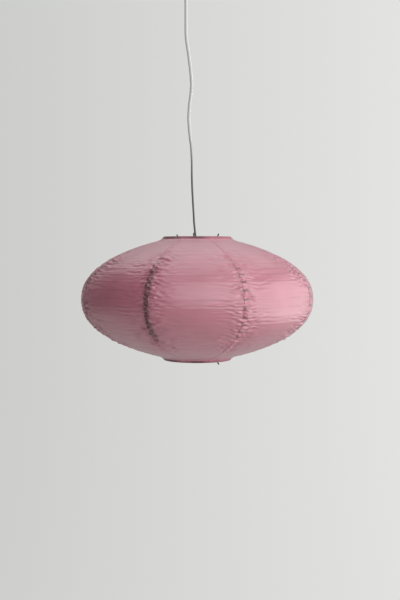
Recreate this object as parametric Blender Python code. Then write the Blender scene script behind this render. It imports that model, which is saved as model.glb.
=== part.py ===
"""A hanging paper lantern: a flattened globe of pink paper on wire hoops, held open by a wire
expander on a pendant lampholder, on a flat twin cord from a ceiling cup.

Metres, +Z up. The origin is the middle of the ceiling bracket's top face, and +Z points into the
ceiling. The front is -Y. The cord keeps a slight set, so the shade's axis stands a little to the
right of the ceiling fitting's.
"""
import math

import bmesh
import bpy
from mathutils import Matrix, Vector

# ---------------------------------------------------------------- sizes that can be set
GAP = 0.0003                 # clearance between pieces that touch

# Shade
SHADE_RADIUS = 0.1975        # hoops, at the middle of a gore on the equator
SHADE_HEIGHT = 0.209         # top ring wire to bottom ring wire
RING_RADIUS = 0.0570         # centre line of both end rings
RING_WIRE = 0.0024           # diameter
HOOP_WIRE = 0.0012           # diameter
HOOP_COUNT = 26
PAPER = 0.0003               # thickness
COLLAR = 0.0040              # height of the straight paper collar beside each ring
GORE_COUNT = 8
GORE_SEGMENTS = 3            # straight facets across one gore
FIRST_SEAM = math.radians(-22.7)   # azimuth of a seam, from the front towards the right
SEAM_RISE = 0.022            # share by which the hoops stand out at the seams
PROFILE_CLOSE = 1.02         # height at which the side curve would close, per height it keeps
PROFILE_POWER = 2.28         # flatness of the curve at the equator
PROFILE_ROUND = 0.81         # fullness of the curve towards the rings

# Hanging
SHADE_OFFSET = 0.0190        # shade axis, to the right of the ceiling fitting's axis
TOP_RING_DROP = 0.496        # ceiling to top ring

# Expander
EXPANDER_WIRE = 0.0022       # diameter
EXPANDER_AZIMUTH = math.radians(39.5)
EYE_RADIUS = 0.0064          # centre line of the eyes round the nipple
HOOK_TIP = 0.0054            # height of the hook tips over the ring
FOOT_TIP = 0.0050            # depth of the feet under the ring
LEG_SHOULDER = 0.0500        # distance of the legs' tops from the axis
LEG_SHOULDER_DROP = 0.0075   # depth of the arms there, below the top ring
KEEPER_PLACE = (-0.0062, 0.0098)   # the cord keeper's upright end, from the axis
KEEPER_TIP = 0.0078          # its height over the top ring

# Cord
CORD_WIDTH = 0.0054          # flat twin cord, across its two cores
CORD_POINTS = 40
GRIP_DROP = 0.022            # top ring to the top of the lampholder's cord grip

# Lampholder, for an E27 lamp
GRIP_RADIUS = 0.0065
GRIP_HEIGHT = 0.0080
NIPPLE_RADIUS = 0.0048
NIPPLE_LENGTH = 0.0135
NUT_RADIUS = 0.0095
NUT_HEIGHT = 0.0040
HOLDER_RADIUS = 0.0195
HOLDER_WALL = 0.0020
CAP_HEIGHT = 0.0250
SKIRT_LENGTH = 0.0340
INSERT_HEIGHT = 0.0100
INSERT_DEPTH = 0.0030        # insert's top above the skirt's top
SHELL_RADIUS = 0.0136        # bore of the screw shell
SHELL_WALL = 0.0004
SHELL_LENGTH = 0.0240
CONTACT_RADIUS = 0.0040
CONTACT_HEIGHT = 0.0016

# Bulb
BULB_CLEARANCE = 0.0004      # bulb cap in the screw shell
BULB_CAP_LENGTH = 0.0240
BULB_TIP_RADIUS = 0.0046
BULB_TIP_HEIGHT = 0.0022
HOUSING_LENGTH = 0.0190
HOUSING_RADIUS = 0.0215
GLOBE_RADIUS = 0.0300
GLOBE_WALL = 0.0015
BULB_CAP_WALL = 0.0008

# Ceiling fitting
BRACKET_SIZE = (0.0700, 0.0140, 0.0016)
BRACKET_HOLE = 0.0023        # radius
BRACKET_HOLE_SPREAD = 0.0270
HOOK_WIRE = 0.0030           # diameter
HOOK_BEND = 0.0060           # radius of its bend
HOOK_DROP = 0.0205           # ceiling to the bottom of the bend
ANCHOR_TAB = (0.0040, 0.0110)      # thickness and width
ANCHOR_BODY = 0.0110         # width and depth of the clamp
ANCHOR_HEIGHT = 0.0100       # of the clamp
EYE_HOLE = 0.0024            # radius of the hole that the hook goes through
CUP_RADIUS = 0.0420
CUP_DEPTH = 0.0560
CUP_WALL = 0.0020
CUP_FOOT = 0.0130            # radius of the cup's flat lower end
LOCK_STEM = 0.0050           # radius
LOCK_STEM_LENGTH = 0.0090
LOCK_RADIUS = 0.0080
LOCK_HEIGHT = 0.0100
LOCK_SCREW = 0.0015          # radius
BLOCK_SIZE = (0.0160, 0.0120, 0.0110)
BLOCK_PLACE = (0.0190, 0.0, -0.0260)

# Shading of round pieces
SMOOTH_ANGLE = math.radians(35.0)

# ---------------------------------------------------------------- sizes that follow
TOP_RING_Z = -TOP_RING_DROP
BOTTOM_RING_Z = TOP_RING_Z - SHADE_HEIGHT
EQUATOR_Z = (TOP_RING_Z + BOTTOM_RING_Z) / 2
CURVE_HALF = SHADE_HEIGHT / 2 - COLLAR
HOOK_REACH = RING_WIRE / 2 + GAP + PAPER + GAP + EXPANDER_WIRE / 2   # ring centre to hook centre
GRIP_TOP_Z = TOP_RING_Z - GRIP_DROP
NUT_TOP_Z = GRIP_TOP_Z - GRIP_HEIGHT - GAP
UPPER_EYE_Z = NUT_TOP_Z - NUT_HEIGHT - GAP - EXPANDER_WIRE / 2
LOWER_EYE_Z = UPPER_EYE_Z - EXPANDER_WIRE - GAP
CAP_TOP_Z = LOWER_EYE_Z - EXPANDER_WIRE / 2 - GAP
SKIRT_TOP_Z = CAP_TOP_Z - CAP_HEIGHT - GAP
INSERT_TOP_Z = SKIRT_TOP_Z + INSERT_DEPTH
INSERT_LOW_Z = INSERT_TOP_Z - INSERT_HEIGHT
CONTACT_LOW_Z = INSERT_LOW_Z - GAP - CONTACT_HEIGHT
BULB_TIP_Z = CONTACT_LOW_Z - GAP
BULB_CAP_TOP_Z = BULB_TIP_Z - BULB_TIP_HEIGHT - GAP
HOUSING_TOP_Z = BULB_CAP_TOP_Z - BULB_CAP_LENGTH - GAP
GLOBE_TOP_Z = HOUSING_TOP_Z - HOUSING_LENGTH - GAP
CUP_LOW_Z = -GAP - CUP_DEPTH
CORD_RADIUS = CORD_WIDTH / 2
ANCHOR_LOW_Z = -HOOK_DROP - EYE_HOLE - 0.0030 - ANCHOR_HEIGHT

# The cord's route, from the lampholder's grip to the ceiling anchor: distance from the shade's
# axis, and height over the top ring.
CORD_ROUTE = [
    (0.0000, -0.0217), (-0.0001, -0.0170), (-0.0010, -0.0080), (-0.0034, 0.0052),
    (-0.0054, 0.0259), (-0.0066, 0.0465), (-0.0078, 0.0672), (-0.0088, 0.0879),
    (-0.0093, 0.1086), (-0.0094, 0.1293), (-0.0103, 0.1500), (-0.0119, 0.1707),
    (-0.0133, 0.1860), (-0.0143, 0.2017), (-0.0141, 0.2120), (-0.0129, 0.2276),
    (-0.0109, 0.2430), (-0.0095, 0.2586), (-0.0102, 0.2740), (-0.0124, 0.2948),
    (-0.0151, 0.3155), (-0.0177, 0.3327), (-0.0189, 0.3465), (-0.0190, 0.3650),
    (-0.0190, 0.3950), (-0.0190, 0.4300),
]


# ---------------------------------------------------------------- helpers
def clear_scene():
    for obj in list(bpy.data.objects):
        bpy.data.objects.remove(obj)


def material(name, colour, roughness, metallic=0.0):
    mat = bpy.data.materials.new(name)
    mat.use_nodes = True
    shader = mat.node_tree.nodes["Principled BSDF"]
    shader.inputs["Base Color"].default_value = (*colour, 1.0)
    shader.inputs["Roughness"].default_value = roughness
    shader.inputs["Metallic"].default_value = metallic
    return mat


def empty(name, location):
    obj = bpy.data.objects.new(name, None)
    obj.location = location
    bpy.context.scene.collection.objects.link(obj)
    return obj


def add(name, data, mat, parent=None, location=(0, 0, 0)):
    """A named object with its material, placed in its parent."""
    obj = bpy.data.objects.new(name, data)
    obj.parent = parent
    obj.location = location
    data.materials.append(mat)
    bpy.context.scene.collection.objects.link(obj)
    return obj


def mesh_from(bm, name, smooth=True):
    bmesh.ops.recalc_face_normals(bm, faces=bm.faces)
    mesh = bpy.data.meshes.new(name)
    bm.to_mesh(mesh)
    bm.free()
    if smooth:
        mesh.shade_smooth()
        mesh.set_sharp_from_angle(angle=SMOOTH_ANGLE)
    return mesh


def turned(name, outline, segments=24):
    """A closed outline of (radius, height) points, turned about Z."""
    bm = bmesh.new()
    verts = [bm.verts.new((radius, 0.0, height)) for radius, height in outline]
    closed = outline[0][0] > 0 or outline[-1][0] > 0
    pairs = list(zip(verts, verts[1:]))
    if closed:
        pairs.append((verts[-1], verts[0]))
    edges = [bm.edges.new(pair) for pair in pairs]
    bmesh.ops.spin(bm, geom=verts + edges, axis=(0, 0, 1), cent=(0, 0, 0),
                   steps=segments, angle=2 * math.pi, use_merge=True)
    bmesh.ops.remove_doubles(bm, verts=bm.verts, dist=0.00001)
    return mesh_from(bm, name)


def block(name, size, centre=(0, 0, 0)):
    bm = bmesh.new()
    bmesh.ops.create_cube(bm, size=1.0)
    bmesh.ops.scale(bm, vec=size, verts=bm.verts)
    bmesh.ops.translate(bm, vec=centre, verts=bm.verts)
    return mesh_from(bm, name, smooth=False)


def rod(name, radius, length, places, axis="Z", segments=12):
    """One or more separate cylinders, each centred on its place."""
    turn = {"X": Matrix.Rotation(math.pi / 2, 4, "Y"), "Z": Matrix.Identity(4)}[axis]
    bm = bmesh.new()
    for place in places:
        bmesh.ops.create_cone(bm, cap_ends=True, segments=segments, radius1=radius,
                              radius2=radius, depth=length,
                              matrix=Matrix.Translation(place) @ turn)
    return mesh_from(bm, name)


def cut(obj, cutter_mesh):
    """Subtracts a mesh, given in obj's own coordinates, from obj."""
    cutter = bpy.data.objects.new(obj.name + "_cutter", cutter_mesh)
    cutter.parent = obj
    cutter.hide_render = True
    cutter.display_type = "WIRE"
    bpy.context.scene.collection.objects.link(cutter)
    modifier = obj.modifiers.new("cut", "BOOLEAN")
    modifier.operation = "DIFFERENCE"
    modifier.solver = "EXACT"
    modifier.object = cutter


def wire(name, points, radius, cyclic=False, resolution=1):
    """A round wire or cord along the points, with closed ends."""
    curve = bpy.data.curves.new(name, "CURVE")
    curve.dimensions = "3D"
    curve.bevel_depth = radius
    curve.bevel_resolution = resolution
    curve.use_fill_caps = not cyclic
    spline = curve.splines.new("POLY")
    spline.points.add(len(points) - 1)
    for target, point in zip(spline.points, points):
        target.co = (*point, 1.0)
    spline.use_cyclic_u = cyclic
    return curve


def rounded(route, steps):
    """A smooth curve through the route's points, with that many steps from one to the next."""
    ends = [route[0] * 2 - route[1]] + route + [route[-1] * 2 - route[-2]]
    points = []
    for before, start, end, after in zip(ends, ends[1:], ends[2:], ends[3:]):
        for step in range(steps):
            t = step / steps
            points.append(0.5 * ((2 * start) + (end - before) * t
                                 + (2 * before - 5 * start + 4 * end - after) * t * t
                                 + (3 * start - before - 3 * end + after) * t ** 3))
    return points + [route[-1]]


def evenly(points, count):
    """That many points at even spacing along a line of points."""
    lengths = [0.0]
    for a, b in zip(points, points[1:]):
        lengths.append(lengths[-1] + (b - a).length)
    spaced = []
    index = 0
    for step in range(count):
        wanted = lengths[-1] * step / (count - 1)
        while index < len(points) - 2 and lengths[index + 1] < wanted:
            index += 1
        span = lengths[index + 1] - lengths[index]
        spaced.append(points[index].lerp(points[index + 1], (wanted - lengths[index]) / span))
    return spaced


def on_azimuth(azimuth, radius, height):
    """The point at that azimuth, turned from the front (-Y) towards the right (+X)."""
    return Vector((radius * math.sin(azimuth), -radius * math.cos(azimuth), height))


# ---------------------------------------------------------------- the shade's form
def side_curve(height):
    """Distance of the hoops from the axis at a height over the equator, mid-gore."""
    close = CURVE_HALF * PROFILE_CLOSE
    share = (1 - (abs(height) / close) ** PROFILE_POWER) ** PROFILE_ROUND
    kept = (1 - (CURVE_HALF / close) ** PROFILE_POWER) ** PROFILE_ROUND
    pole = (RING_RADIUS - SHADE_RADIUS * kept) / (1 - kept)
    return pole + (SHADE_RADIUS - pole) * share


def hoop_places():
    """Radius and height over the equator of each hoop, at even steps along the paper."""
    steps = 400
    line = [(RING_RADIUS, SHADE_HEIGHT / 2)]
    for step in range(steps + 1):
        height = CURVE_HALF * (1 - 2 * step / steps)
        line.append((side_curve(height), height))
    line.append((RING_RADIUS, -SHADE_HEIGHT / 2))
    lengths = [0.0]
    for a, b in zip(line, line[1:]):
        lengths.append(lengths[-1] + math.dist(a, b))
    places = []
    index = 0
    for number in range(1, HOOP_COUNT + 1):
        wanted = lengths[-1] * number / (HOOP_COUNT + 1)
        while lengths[index + 1] < wanted:
            index += 1
        t = (wanted - lengths[index]) / (lengths[index + 1] - lengths[index])
        places.append((line[index][0] + t * (line[index + 1][0] - line[index][0]),
                       line[index][1] + t * (line[index + 1][1] - line[index][1])))
    return places


def seam_share(azimuth):
    """1 on a seam, 0 at the middle of a gore."""
    return 1 - abs(math.sin((azimuth - FIRST_SEAM) * GORE_COUNT / 2))


def raised(radius, azimuth):
    """A hoop's radius at an azimuth: it stands out a little at the seams."""
    fade = (radius - RING_RADIUS) / (SHADE_RADIUS - RING_RADIUS)
    return radius * (1 + SEAM_RISE * seam_share(azimuth) * max(fade, 0.0))


def facet_azimuths():
    count = GORE_COUNT * GORE_SEGMENTS
    return [FIRST_SEAM + 2 * math.pi * number / count for number in range(count)]


def paper_line(azimuth):
    """The paper's inner face at an azimuth, as (radius, height over the equator): folded over
    the top ring, over every hoop, and folded under the bottom ring."""
    ring_reach = RING_WIRE / 2 + GAP
    hoop_reach = HOOP_WIRE / 2 + GAP
    half = SHADE_HEIGHT / 2
    centres = [(RING_RADIUS, half)]
    centres += [(raised(radius, azimuth), height) for radius, height in hoop_places()]
    centres += [(RING_RADIUS, -half)]
    over = [(RING_RADIUS + ring_reach * math.cos(angle), half + ring_reach * math.sin(angle))
            for angle in (math.radians(110), math.radians(55), 0.0)]
    line = list(over)
    for before, centre, after in zip(centres, centres[1:], centres[2:]):
        first = Vector((before[1] - centre[1], centre[0] - before[0])).normalized()
        second = Vector((centre[1] - after[1], after[0] - centre[0])).normalized()
        outward = (first + second).normalized()
        mitre = hoop_reach / outward.dot(first)
        line.append((centre[0] + outward.x * mitre, centre[1] + outward.y * mitre))
    line += [(radius, -height) for radius, height in reversed(over)]
    return line


def gore_mesh(name, first_azimuth):
    """One paper gore between two seams, as a sheet that Solidify thickens outwards."""
    step = 2 * math.pi / (GORE_COUNT * GORE_SEGMENTS)
    columns = []
    for number in range(GORE_SEGMENTS + 1):
        azimuth = first_azimuth + number * step
        columns.append([on_azimuth(azimuth, radius, height)
                        for radius, height in paper_line(azimuth)])
    for edge, inner in ((0, 1), (-1, -2)):
        trimmed = []
        for at_seam, inside in zip(columns[edge], columns[inner]):
            trimmed.append(at_seam + (inside - at_seam).normalized() * GAP)
        columns[edge] = trimmed
    bm = bmesh.new()
    rows = [[bm.verts.new(point) for point in column] for column in columns]
    for left, right in zip(rows, rows[1:]):
        for index in range(len(left) - 1):
            bm.faces.new((left[index], left[index + 1], right[index + 1], right[index]))
    mesh = bpy.data.meshes.new(name)
    bm.to_mesh(mesh)
    bm.free()
    return mesh


# ---------------------------------------------------------------- the shade's pieces
def make_shade(centre, mats):
    for name, height in (("top_ring", SHADE_HEIGHT / 2), ("bottom_ring", -SHADE_HEIGHT / 2)):
        points = [on_azimuth(azimuth, RING_RADIUS, 0) for azimuth in facet_azimuths()]
        add(name, wire(name, points, RING_WIRE / 2, cyclic=True), mats["wire"],
            centre, (0, 0, height))
    for number, (radius, height) in enumerate(hoop_places(), start=1):
        name = f"hoop_{number:02d}"
        points = [on_azimuth(azimuth, raised(radius, azimuth), 0)
                  for azimuth in facet_azimuths()]
        add(name, wire(name, points, HOOP_WIRE / 2, cyclic=True, resolution=0),
            mats["wire"], centre, (0, 0, height))
    for number in range(GORE_COUNT):
        name = f"paper_gore_{number + 1}"
        first = FIRST_SEAM + number * 2 * math.pi / GORE_COUNT
        gore = add(name, gore_mesh(name, first), mats["paper"], centre)
        sheet = gore.modifiers.new("thickness", "SOLIDIFY")
        sheet.thickness = PAPER
        sheet.offset = 1.0
        sheet.use_even_offset = True


# ---------------------------------------------------------------- the expander
def eye_turn(azimuth, height, start, end):
    """Points round the nipple, from start to end degrees on from an azimuth."""
    steps = 10
    return [on_azimuth(azimuth + math.radians(start + (end - start) * step / steps),
                       EYE_RADIUS, height) for step in range(steps + 1)]


def arm_route(azimuth, eye_height):
    """From the eye out and up to the hook, whose tip leans out over the top ring."""
    ring = RING_RADIUS
    inside = ring - HOOK_REACH
    return [
        on_azimuth(azimuth - math.radians(25), 0.0120, eye_height),
        on_azimuth(azimuth - math.radians(3), 0.0210, eye_height + 0.0040),
        on_azimuth(azimuth, 0.0350, TOP_RING_Z - 0.0210),
        on_azimuth(azimuth, LEG_SHOULDER, TOP_RING_Z - LEG_SHOULDER_DROP),
        on_azimuth(azimuth, inside - 0.0002, TOP_RING_Z - 0.0030),
        on_azimuth(azimuth, inside, TOP_RING_Z),
        on_azimuth(azimuth, inside + 0.0010, TOP_RING_Z + 0.0032),
        on_azimuth(azimuth, inside + 0.0028, TOP_RING_Z + HOOK_TIP),
    ]


def leg_route(azimuth):
    """From the shoulder down inside the bottom ring, and out under it."""
    inside = RING_RADIUS - HOOK_REACH
    top = TOP_RING_Z - LEG_SHOULDER_DROP - EXPANDER_WIRE - 2 * GAP
    shoulder = on_azimuth(azimuth, LEG_SHOULDER, top)
    return shoulder, [
        on_azimuth(azimuth, LEG_SHOULDER, top),
        on_azimuth(azimuth, LEG_SHOULDER + 0.0010, top - 0.0120),
        on_azimuth(azimuth, LEG_SHOULDER + 0.0022, EQUATOR_Z + 0.0200),
        on_azimuth(azimuth, inside - 0.0006, BOTTOM_RING_Z + 0.0350),
        on_azimuth(azimuth, inside, BOTTOM_RING_Z + 0.0050),
        on_azimuth(azimuth, inside, BOTTOM_RING_Z),
        on_azimuth(azimuth, inside + 0.0013, BOTTOM_RING_Z - 0.0030),
        on_azimuth(azimuth, inside + 0.0035, BOTTOM_RING_Z - FOOT_TIP),
    ]


def make_expander(axis, mats):
    radius = EXPANDER_WIRE / 2
    left = EXPANDER_AZIMUTH + math.pi
    keeper_x, keeper_y = KEEPER_PLACE
    keeper_azimuth = math.atan2(keeper_x, -keeper_y)
    keeper = [
        Vector((keeper_x, keeper_y, TOP_RING_Z + KEEPER_TIP)),
        Vector((keeper_x, keeper_y, TOP_RING_Z - 0.0120)),
        Vector((keeper_x * 1.05, keeper_y * 1.05, UPPER_EYE_Z + 0.0050)),
        on_azimuth(keeper_azimuth + math.radians(8), 0.0110, UPPER_EYE_Z + 0.0006),
    ]
    loop = eye_turn(left, UPPER_EYE_Z, -310, -55)
    route = rounded(keeper + loop + arm_route(left, UPPER_EYE_Z), 2)
    add("expander_arm_left", wire("expander_arm_left", route, radius), mats["wire"], axis)
    loop = eye_turn(EXPANDER_AZIMUTH, LOWER_EYE_Z, -330, -55)
    route = rounded(loop + arm_route(EXPANDER_AZIMUTH, LOWER_EYE_Z), 2)
    add("expander_arm_right", wire("expander_arm_right", route, radius), mats["wire"], axis)
    for name, azimuth in (("expander_leg_left", left), ("expander_leg_right", EXPANDER_AZIMUTH)):
        pivot, route = leg_route(azimuth)
        pivot = pivot + Vector((0, 0, EXPANDER_WIRE + 2 * GAP))
        points = [point - pivot for point in rounded(route, 3)]
        add(name, wire(name, points, radius), mats["wire"], axis, pivot)


# ---------------------------------------------------------------- the lampholder and bulb
def make_lampholder(axis, mats):
    grip_low = GRIP_TOP_Z - GRIP_HEIGHT
    add("lampholder_grip", turned("lampholder_grip", [
        (0, GRIP_TOP_Z), (GRIP_RADIUS * 0.75, GRIP_TOP_Z), (GRIP_RADIUS, GRIP_TOP_Z - 0.002),
        (GRIP_RADIUS, grip_low), (NIPPLE_RADIUS, grip_low),
        (NIPPLE_RADIUS, grip_low - NIPPLE_LENGTH), (0, grip_low - NIPPLE_LENGTH),
    ], 16), mats["white plastic"], axis)
    bore = NIPPLE_RADIUS + GAP
    add("expander_nut", turned("expander_nut", [
        (bore, NUT_TOP_Z), (NUT_RADIUS, NUT_TOP_Z), (NUT_RADIUS, NUT_TOP_Z - NUT_HEIGHT),
        (bore, NUT_TOP_Z - NUT_HEIGHT),
    ], 12), mats["white plastic"], axis)
    cap_low = CAP_TOP_Z - CAP_HEIGHT
    outer = []
    inner = []
    for step in range(5):
        turn = math.radians(90 * step / 4)
        flat = HOLDER_RADIUS * 0.5
        rise = (CAP_HEIGHT - 0.008) * math.cos(turn)
        outer.append((flat + (HOLDER_RADIUS - flat) * math.sin(turn), cap_low + 0.008 + rise))
        inner.append((outer[-1][0] - HOLDER_WALL * (0.3 + 0.7 * math.sin(turn)),
                      cap_low + 0.008 + rise - HOLDER_WALL * math.cos(turn)))
    add("lampholder_cap", turned("lampholder_cap", [(bore, CAP_TOP_Z)] + outer
        + [(HOLDER_RADIUS, cap_low), (HOLDER_RADIUS - HOLDER_WALL, cap_low)]
        + list(reversed(inner)) + [(bore, CAP_TOP_Z - HOLDER_WALL)]),
        mats["white plastic"], axis)
    skirt_low = SKIRT_TOP_Z - SKIRT_LENGTH
    bore = HOLDER_RADIUS - HOLDER_WALL
    add("lampholder_skirt", turned("lampholder_skirt", [
        (HOLDER_RADIUS, SKIRT_TOP_Z), (HOLDER_RADIUS, skirt_low + 0.004),
        (HOLDER_RADIUS - 0.0008, skirt_low), (bore, skirt_low), (bore, SKIRT_TOP_Z),
    ]), mats["white plastic"], axis)
    insert_radius = bore - GAP
    add("lampholder_insert", turned("lampholder_insert", [
        (0, INSERT_TOP_Z), (insert_radius, INSERT_TOP_Z), (insert_radius, INSERT_LOW_Z),
        (0, INSERT_LOW_Z),
    ]), mats["ceramic"], axis)
    shell_top = INSERT_LOW_Z - GAP
    add("screw_shell", turned("screw_shell", [
        (SHELL_RADIUS, shell_top), (SHELL_RADIUS + SHELL_WALL, shell_top),
        (SHELL_RADIUS + SHELL_WALL, shell_top - SHELL_LENGTH),
        (SHELL_RADIUS, shell_top - SHELL_LENGTH),
    ]), mats["brass"], axis)
    add("centre_contact", turned("centre_contact", [
        (0, INSERT_LOW_Z - GAP), (CONTACT_RADIUS, INSERT_LOW_Z - GAP),
        (CONTACT_RADIUS * 0.6, CONTACT_LOW_Z), (0, CONTACT_LOW_Z),
    ], 12), mats["brass"], axis)


def make_bulb(axis, mats):
    add("bulb_contact", turned("bulb_contact", [
        (0, BULB_TIP_Z), (BULB_TIP_RADIUS * 0.6, BULB_TIP_Z),
        (BULB_TIP_RADIUS, BULB_TIP_Z - BULB_TIP_HEIGHT), (0, BULB_TIP_Z - BULB_TIP_HEIGHT),
    ], 12), mats["brass"], axis)
    radius = SHELL_RADIUS - BULB_CLEARANCE
    low = BULB_CAP_TOP_Z - BULB_CAP_LENGTH
    shoulder = BULB_CAP_TOP_Z - 0.004
    inside = radius - BULB_CAP_WALL
    add("bulb_cap", turned("bulb_cap", [
        (0, BULB_CAP_TOP_Z), (BULB_TIP_RADIUS + 0.001, BULB_CAP_TOP_Z), (radius, shoulder),
        (radius, low), (inside, low), (inside, shoulder - BULB_CAP_WALL / 2),
        (BULB_TIP_RADIUS + 0.0007, BULB_CAP_TOP_Z - BULB_CAP_WALL),
        (0, BULB_CAP_TOP_Z - BULB_CAP_WALL),
    ]), mats["nickel"], axis)
    low = HOUSING_TOP_Z - HOUSING_LENGTH
    add("bulb_housing", turned("bulb_housing", [
        (0, HOUSING_TOP_Z), (radius, HOUSING_TOP_Z), (radius + 0.0012, HOUSING_TOP_Z - 0.004),
        (HOUSING_RADIUS, low), (0, low),
    ]), mats["white plastic"], axis)
    opening = math.asin((HOUSING_RADIUS - 0.0005) / GLOBE_RADIUS)
    centre = GLOBE_TOP_Z - GLOBE_RADIUS * math.cos(opening)
    steps = 9
    outer = []
    inner = []
    for step in range(steps):
        turn = opening + (math.pi - opening) * step / steps
        outer.append((GLOBE_RADIUS * math.sin(turn), centre + GLOBE_RADIUS * math.cos(turn)))
        bore = GLOBE_RADIUS - GLOBE_WALL
        inner.append((bore * math.sin(turn), centre + bore * math.cos(turn)))
    inner[0] = (inner[0][0], GLOBE_TOP_Z)
    lowest = centre - GLOBE_RADIUS
    outline = outer + [(0, lowest), (0, lowest + GLOBE_WALL)] + list(reversed(inner))
    add("bulb_globe", turned("bulb_globe", outline), mats["opal plastic"], axis)


# ---------------------------------------------------------------- the ceiling fitting and cord
def make_ceiling_fitting(mats):
    thick = BRACKET_SIZE[2]
    bracket = add("ceiling_bracket", block("ceiling_bracket", BRACKET_SIZE,
                                           (0, 0, -thick / 2)), mats["steel"])
    holes = [(side * BRACKET_HOLE_SPREAD, 0, -thick / 2) for side in (-1, 1)]
    cut(bracket, rod("bracket_holes", BRACKET_HOLE, thick * 3, holes))

    bend_z = -HOOK_DROP + HOOK_BEND
    hook = [Vector((HOOK_BEND, 0, -thick - GAP)), Vector((HOOK_BEND, 0, (bend_z - thick) / 2))]
    for step in range(10):
        turn = math.radians(200 * step / 9)
        hook.append(Vector((HOOK_BEND * math.cos(turn), 0, bend_z - HOOK_BEND * math.sin(turn))))
    add("ceiling_hook", wire("ceiling_hook", hook, HOOK_WIRE / 2), mats["steel"])

    tab_top = -HOOK_DROP + EYE_HOLE + 0.0030
    body_top = ANCHOR_LOW_Z + ANCHOR_HEIGHT
    tab_thick, tab_width = ANCHOR_TAB
    bm = bmesh.new()
    half = ANCHOR_BODY / 2
    side = [(-half, ANCHOR_LOW_Z), (half, ANCHOR_LOW_Z), (half, body_top),
            (tab_thick / 2, body_top), (tab_thick / 2, tab_top),
            (-tab_thick / 2, tab_top), (-tab_thick / 2, body_top), (-half, body_top)]
    face = bm.faces.new([bm.verts.new((x, -tab_width / 2, z)) for x, z in side])
    raised_face = bmesh.ops.extrude_face_region(bm, geom=[face])
    moved = [item for item in raised_face["geom"] if isinstance(item, bmesh.types.BMVert)]
    bmesh.ops.translate(bm, vec=(0, tab_width, 0), verts=moved)
    anchor = add("cord_anchor", mesh_from(bm, "cord_anchor", smooth=False),
                 mats["white plastic"])
    cut(anchor, rod("anchor_eye", EYE_HOLE, tab_thick * 2, [(0, 0, -HOOK_DROP)], "X", 16))

    add("terminal_block", block("terminal_block", BLOCK_SIZE, BLOCK_PLACE),
        mats["white plastic"])

    cup = empty("ceiling_cup_slide", (0, 0, 0))
    hole = LOCK_STEM + GAP
    outer = [(CUP_RADIUS, -GAP), (CUP_RADIUS, -0.006), (CUP_RADIUS - 0.003, -0.024),
             (CUP_RADIUS - 0.010, -0.040), (CUP_FOOT + 0.008, CUP_LOW_Z + 0.004),
             (CUP_FOOT, CUP_LOW_Z)]
    inner = [(CUP_FOOT - 0.001, CUP_LOW_Z + CUP_WALL),
             (CUP_FOOT + 0.0065, CUP_LOW_Z + 0.004 + CUP_WALL),
             (CUP_RADIUS - 0.010 - CUP_WALL, -0.040 + CUP_WALL / 2),
             (CUP_RADIUS - 0.003 - CUP_WALL, -0.024), (CUP_RADIUS - CUP_WALL, -0.006),
             (CUP_RADIUS - CUP_WALL, -GAP)]
    add("ceiling_cup", turned("ceiling_cup", outer + [(hole, CUP_LOW_Z),
        (hole, CUP_LOW_Z + CUP_WALL)] + inner, 24), mats["white plastic"], cup)
    bore = CORD_RADIUS + GAP
    lock_top = CUP_LOW_Z - GAP
    lock_low = lock_top - LOCK_HEIGHT
    stem_top = lock_top + LOCK_STEM_LENGTH
    lock = add("cord_lock", turned("cord_lock", [
        (bore, stem_top), (LOCK_STEM, stem_top), (LOCK_STEM, lock_top), (LOCK_RADIUS, lock_top),
        (LOCK_RADIUS, lock_low + 0.002), (LOCK_RADIUS - 0.0015, lock_low), (bore, lock_low),
    ]), mats["white plastic"], cup)
    screw_z = lock_top - LOCK_HEIGHT / 2
    reach = LOCK_RADIUS - bore - 0.0006
    place = ((bore + LOCK_RADIUS) / 2 + 0.0002, 0, screw_z)
    cut(lock, rod("lock_screw_hole", LOCK_SCREW + GAP, LOCK_RADIUS * 2,
                  [(LOCK_RADIUS + bore / 2, 0, screw_z)], "X"))
    add("lock_screw", rod("lock_screw", LOCK_SCREW, reach, [place], "X"), mats["steel"], cup)


def make_cord(mats):
    route = [Vector((SHADE_OFFSET + x, 0, TOP_RING_Z + z)) for x, z in CORD_ROUTE]
    route.append(Vector((0, 0, ANCHOR_LOW_Z - GAP)))
    points = evenly(rounded(route, 12), CORD_POINTS)
    add("cord", wire("cord", points, CORD_RADIUS, resolution=2), mats["cord"])


def main():
    clear_scene()
    mats = {
        "paper": material("paper", (0.47, 0.20, 0.24), 0.6),
        "wire": material("wire", (0.30, 0.28, 0.28), 0.4, 0.9),
        "steel": material("steel", (0.55, 0.55, 0.55), 0.35, 1.0),
        "brass": material("brass", (0.75, 0.58, 0.30), 0.3, 1.0),
        "nickel": material("nickel", (0.66, 0.65, 0.62), 0.3, 1.0),
        "ceramic": material("ceramic", (0.80, 0.78, 0.74), 0.35),
        "opal plastic": material("opal plastic", (0.90, 0.89, 0.86), 0.25),
        "white plastic": material("white plastic", (0.80, 0.80, 0.78), 0.4),
        "cord": material("cord", (0.62, 0.62, 0.61), 0.45),
    }
    shade_axis = empty("shade_axis", (SHADE_OFFSET, 0, 0))
    shade_centre = empty("shade_centre", (0, 0, EQUATOR_Z))
    shade_centre.parent = shade_axis
    make_shade(shade_centre, mats)
    make_expander(shade_axis, mats)
    make_lampholder(shade_axis, mats)
    bulb_axis = empty("bulb_axis", (0, 0, 0))
    bulb_axis.parent = shade_axis
    make_bulb(bulb_axis, mats)
    make_ceiling_fitting(mats)
    make_cord(mats)


main()
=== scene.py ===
"""The looks of a pink paper lantern on its flat cord: eight gores of glazed paper on 26 wire hoops,
with glued laps at the seams, paper folded over the two rings, a wire expander, a lampholder with its
bulb, and the ceiling fitting.

Metres, +Z up, the front is -Y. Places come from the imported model; azimuths run from the front
towards the right.
"""

import math

import bmesh
import bpy
import numpy as np
from mathutils import Matrix, Vector, noise


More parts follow.
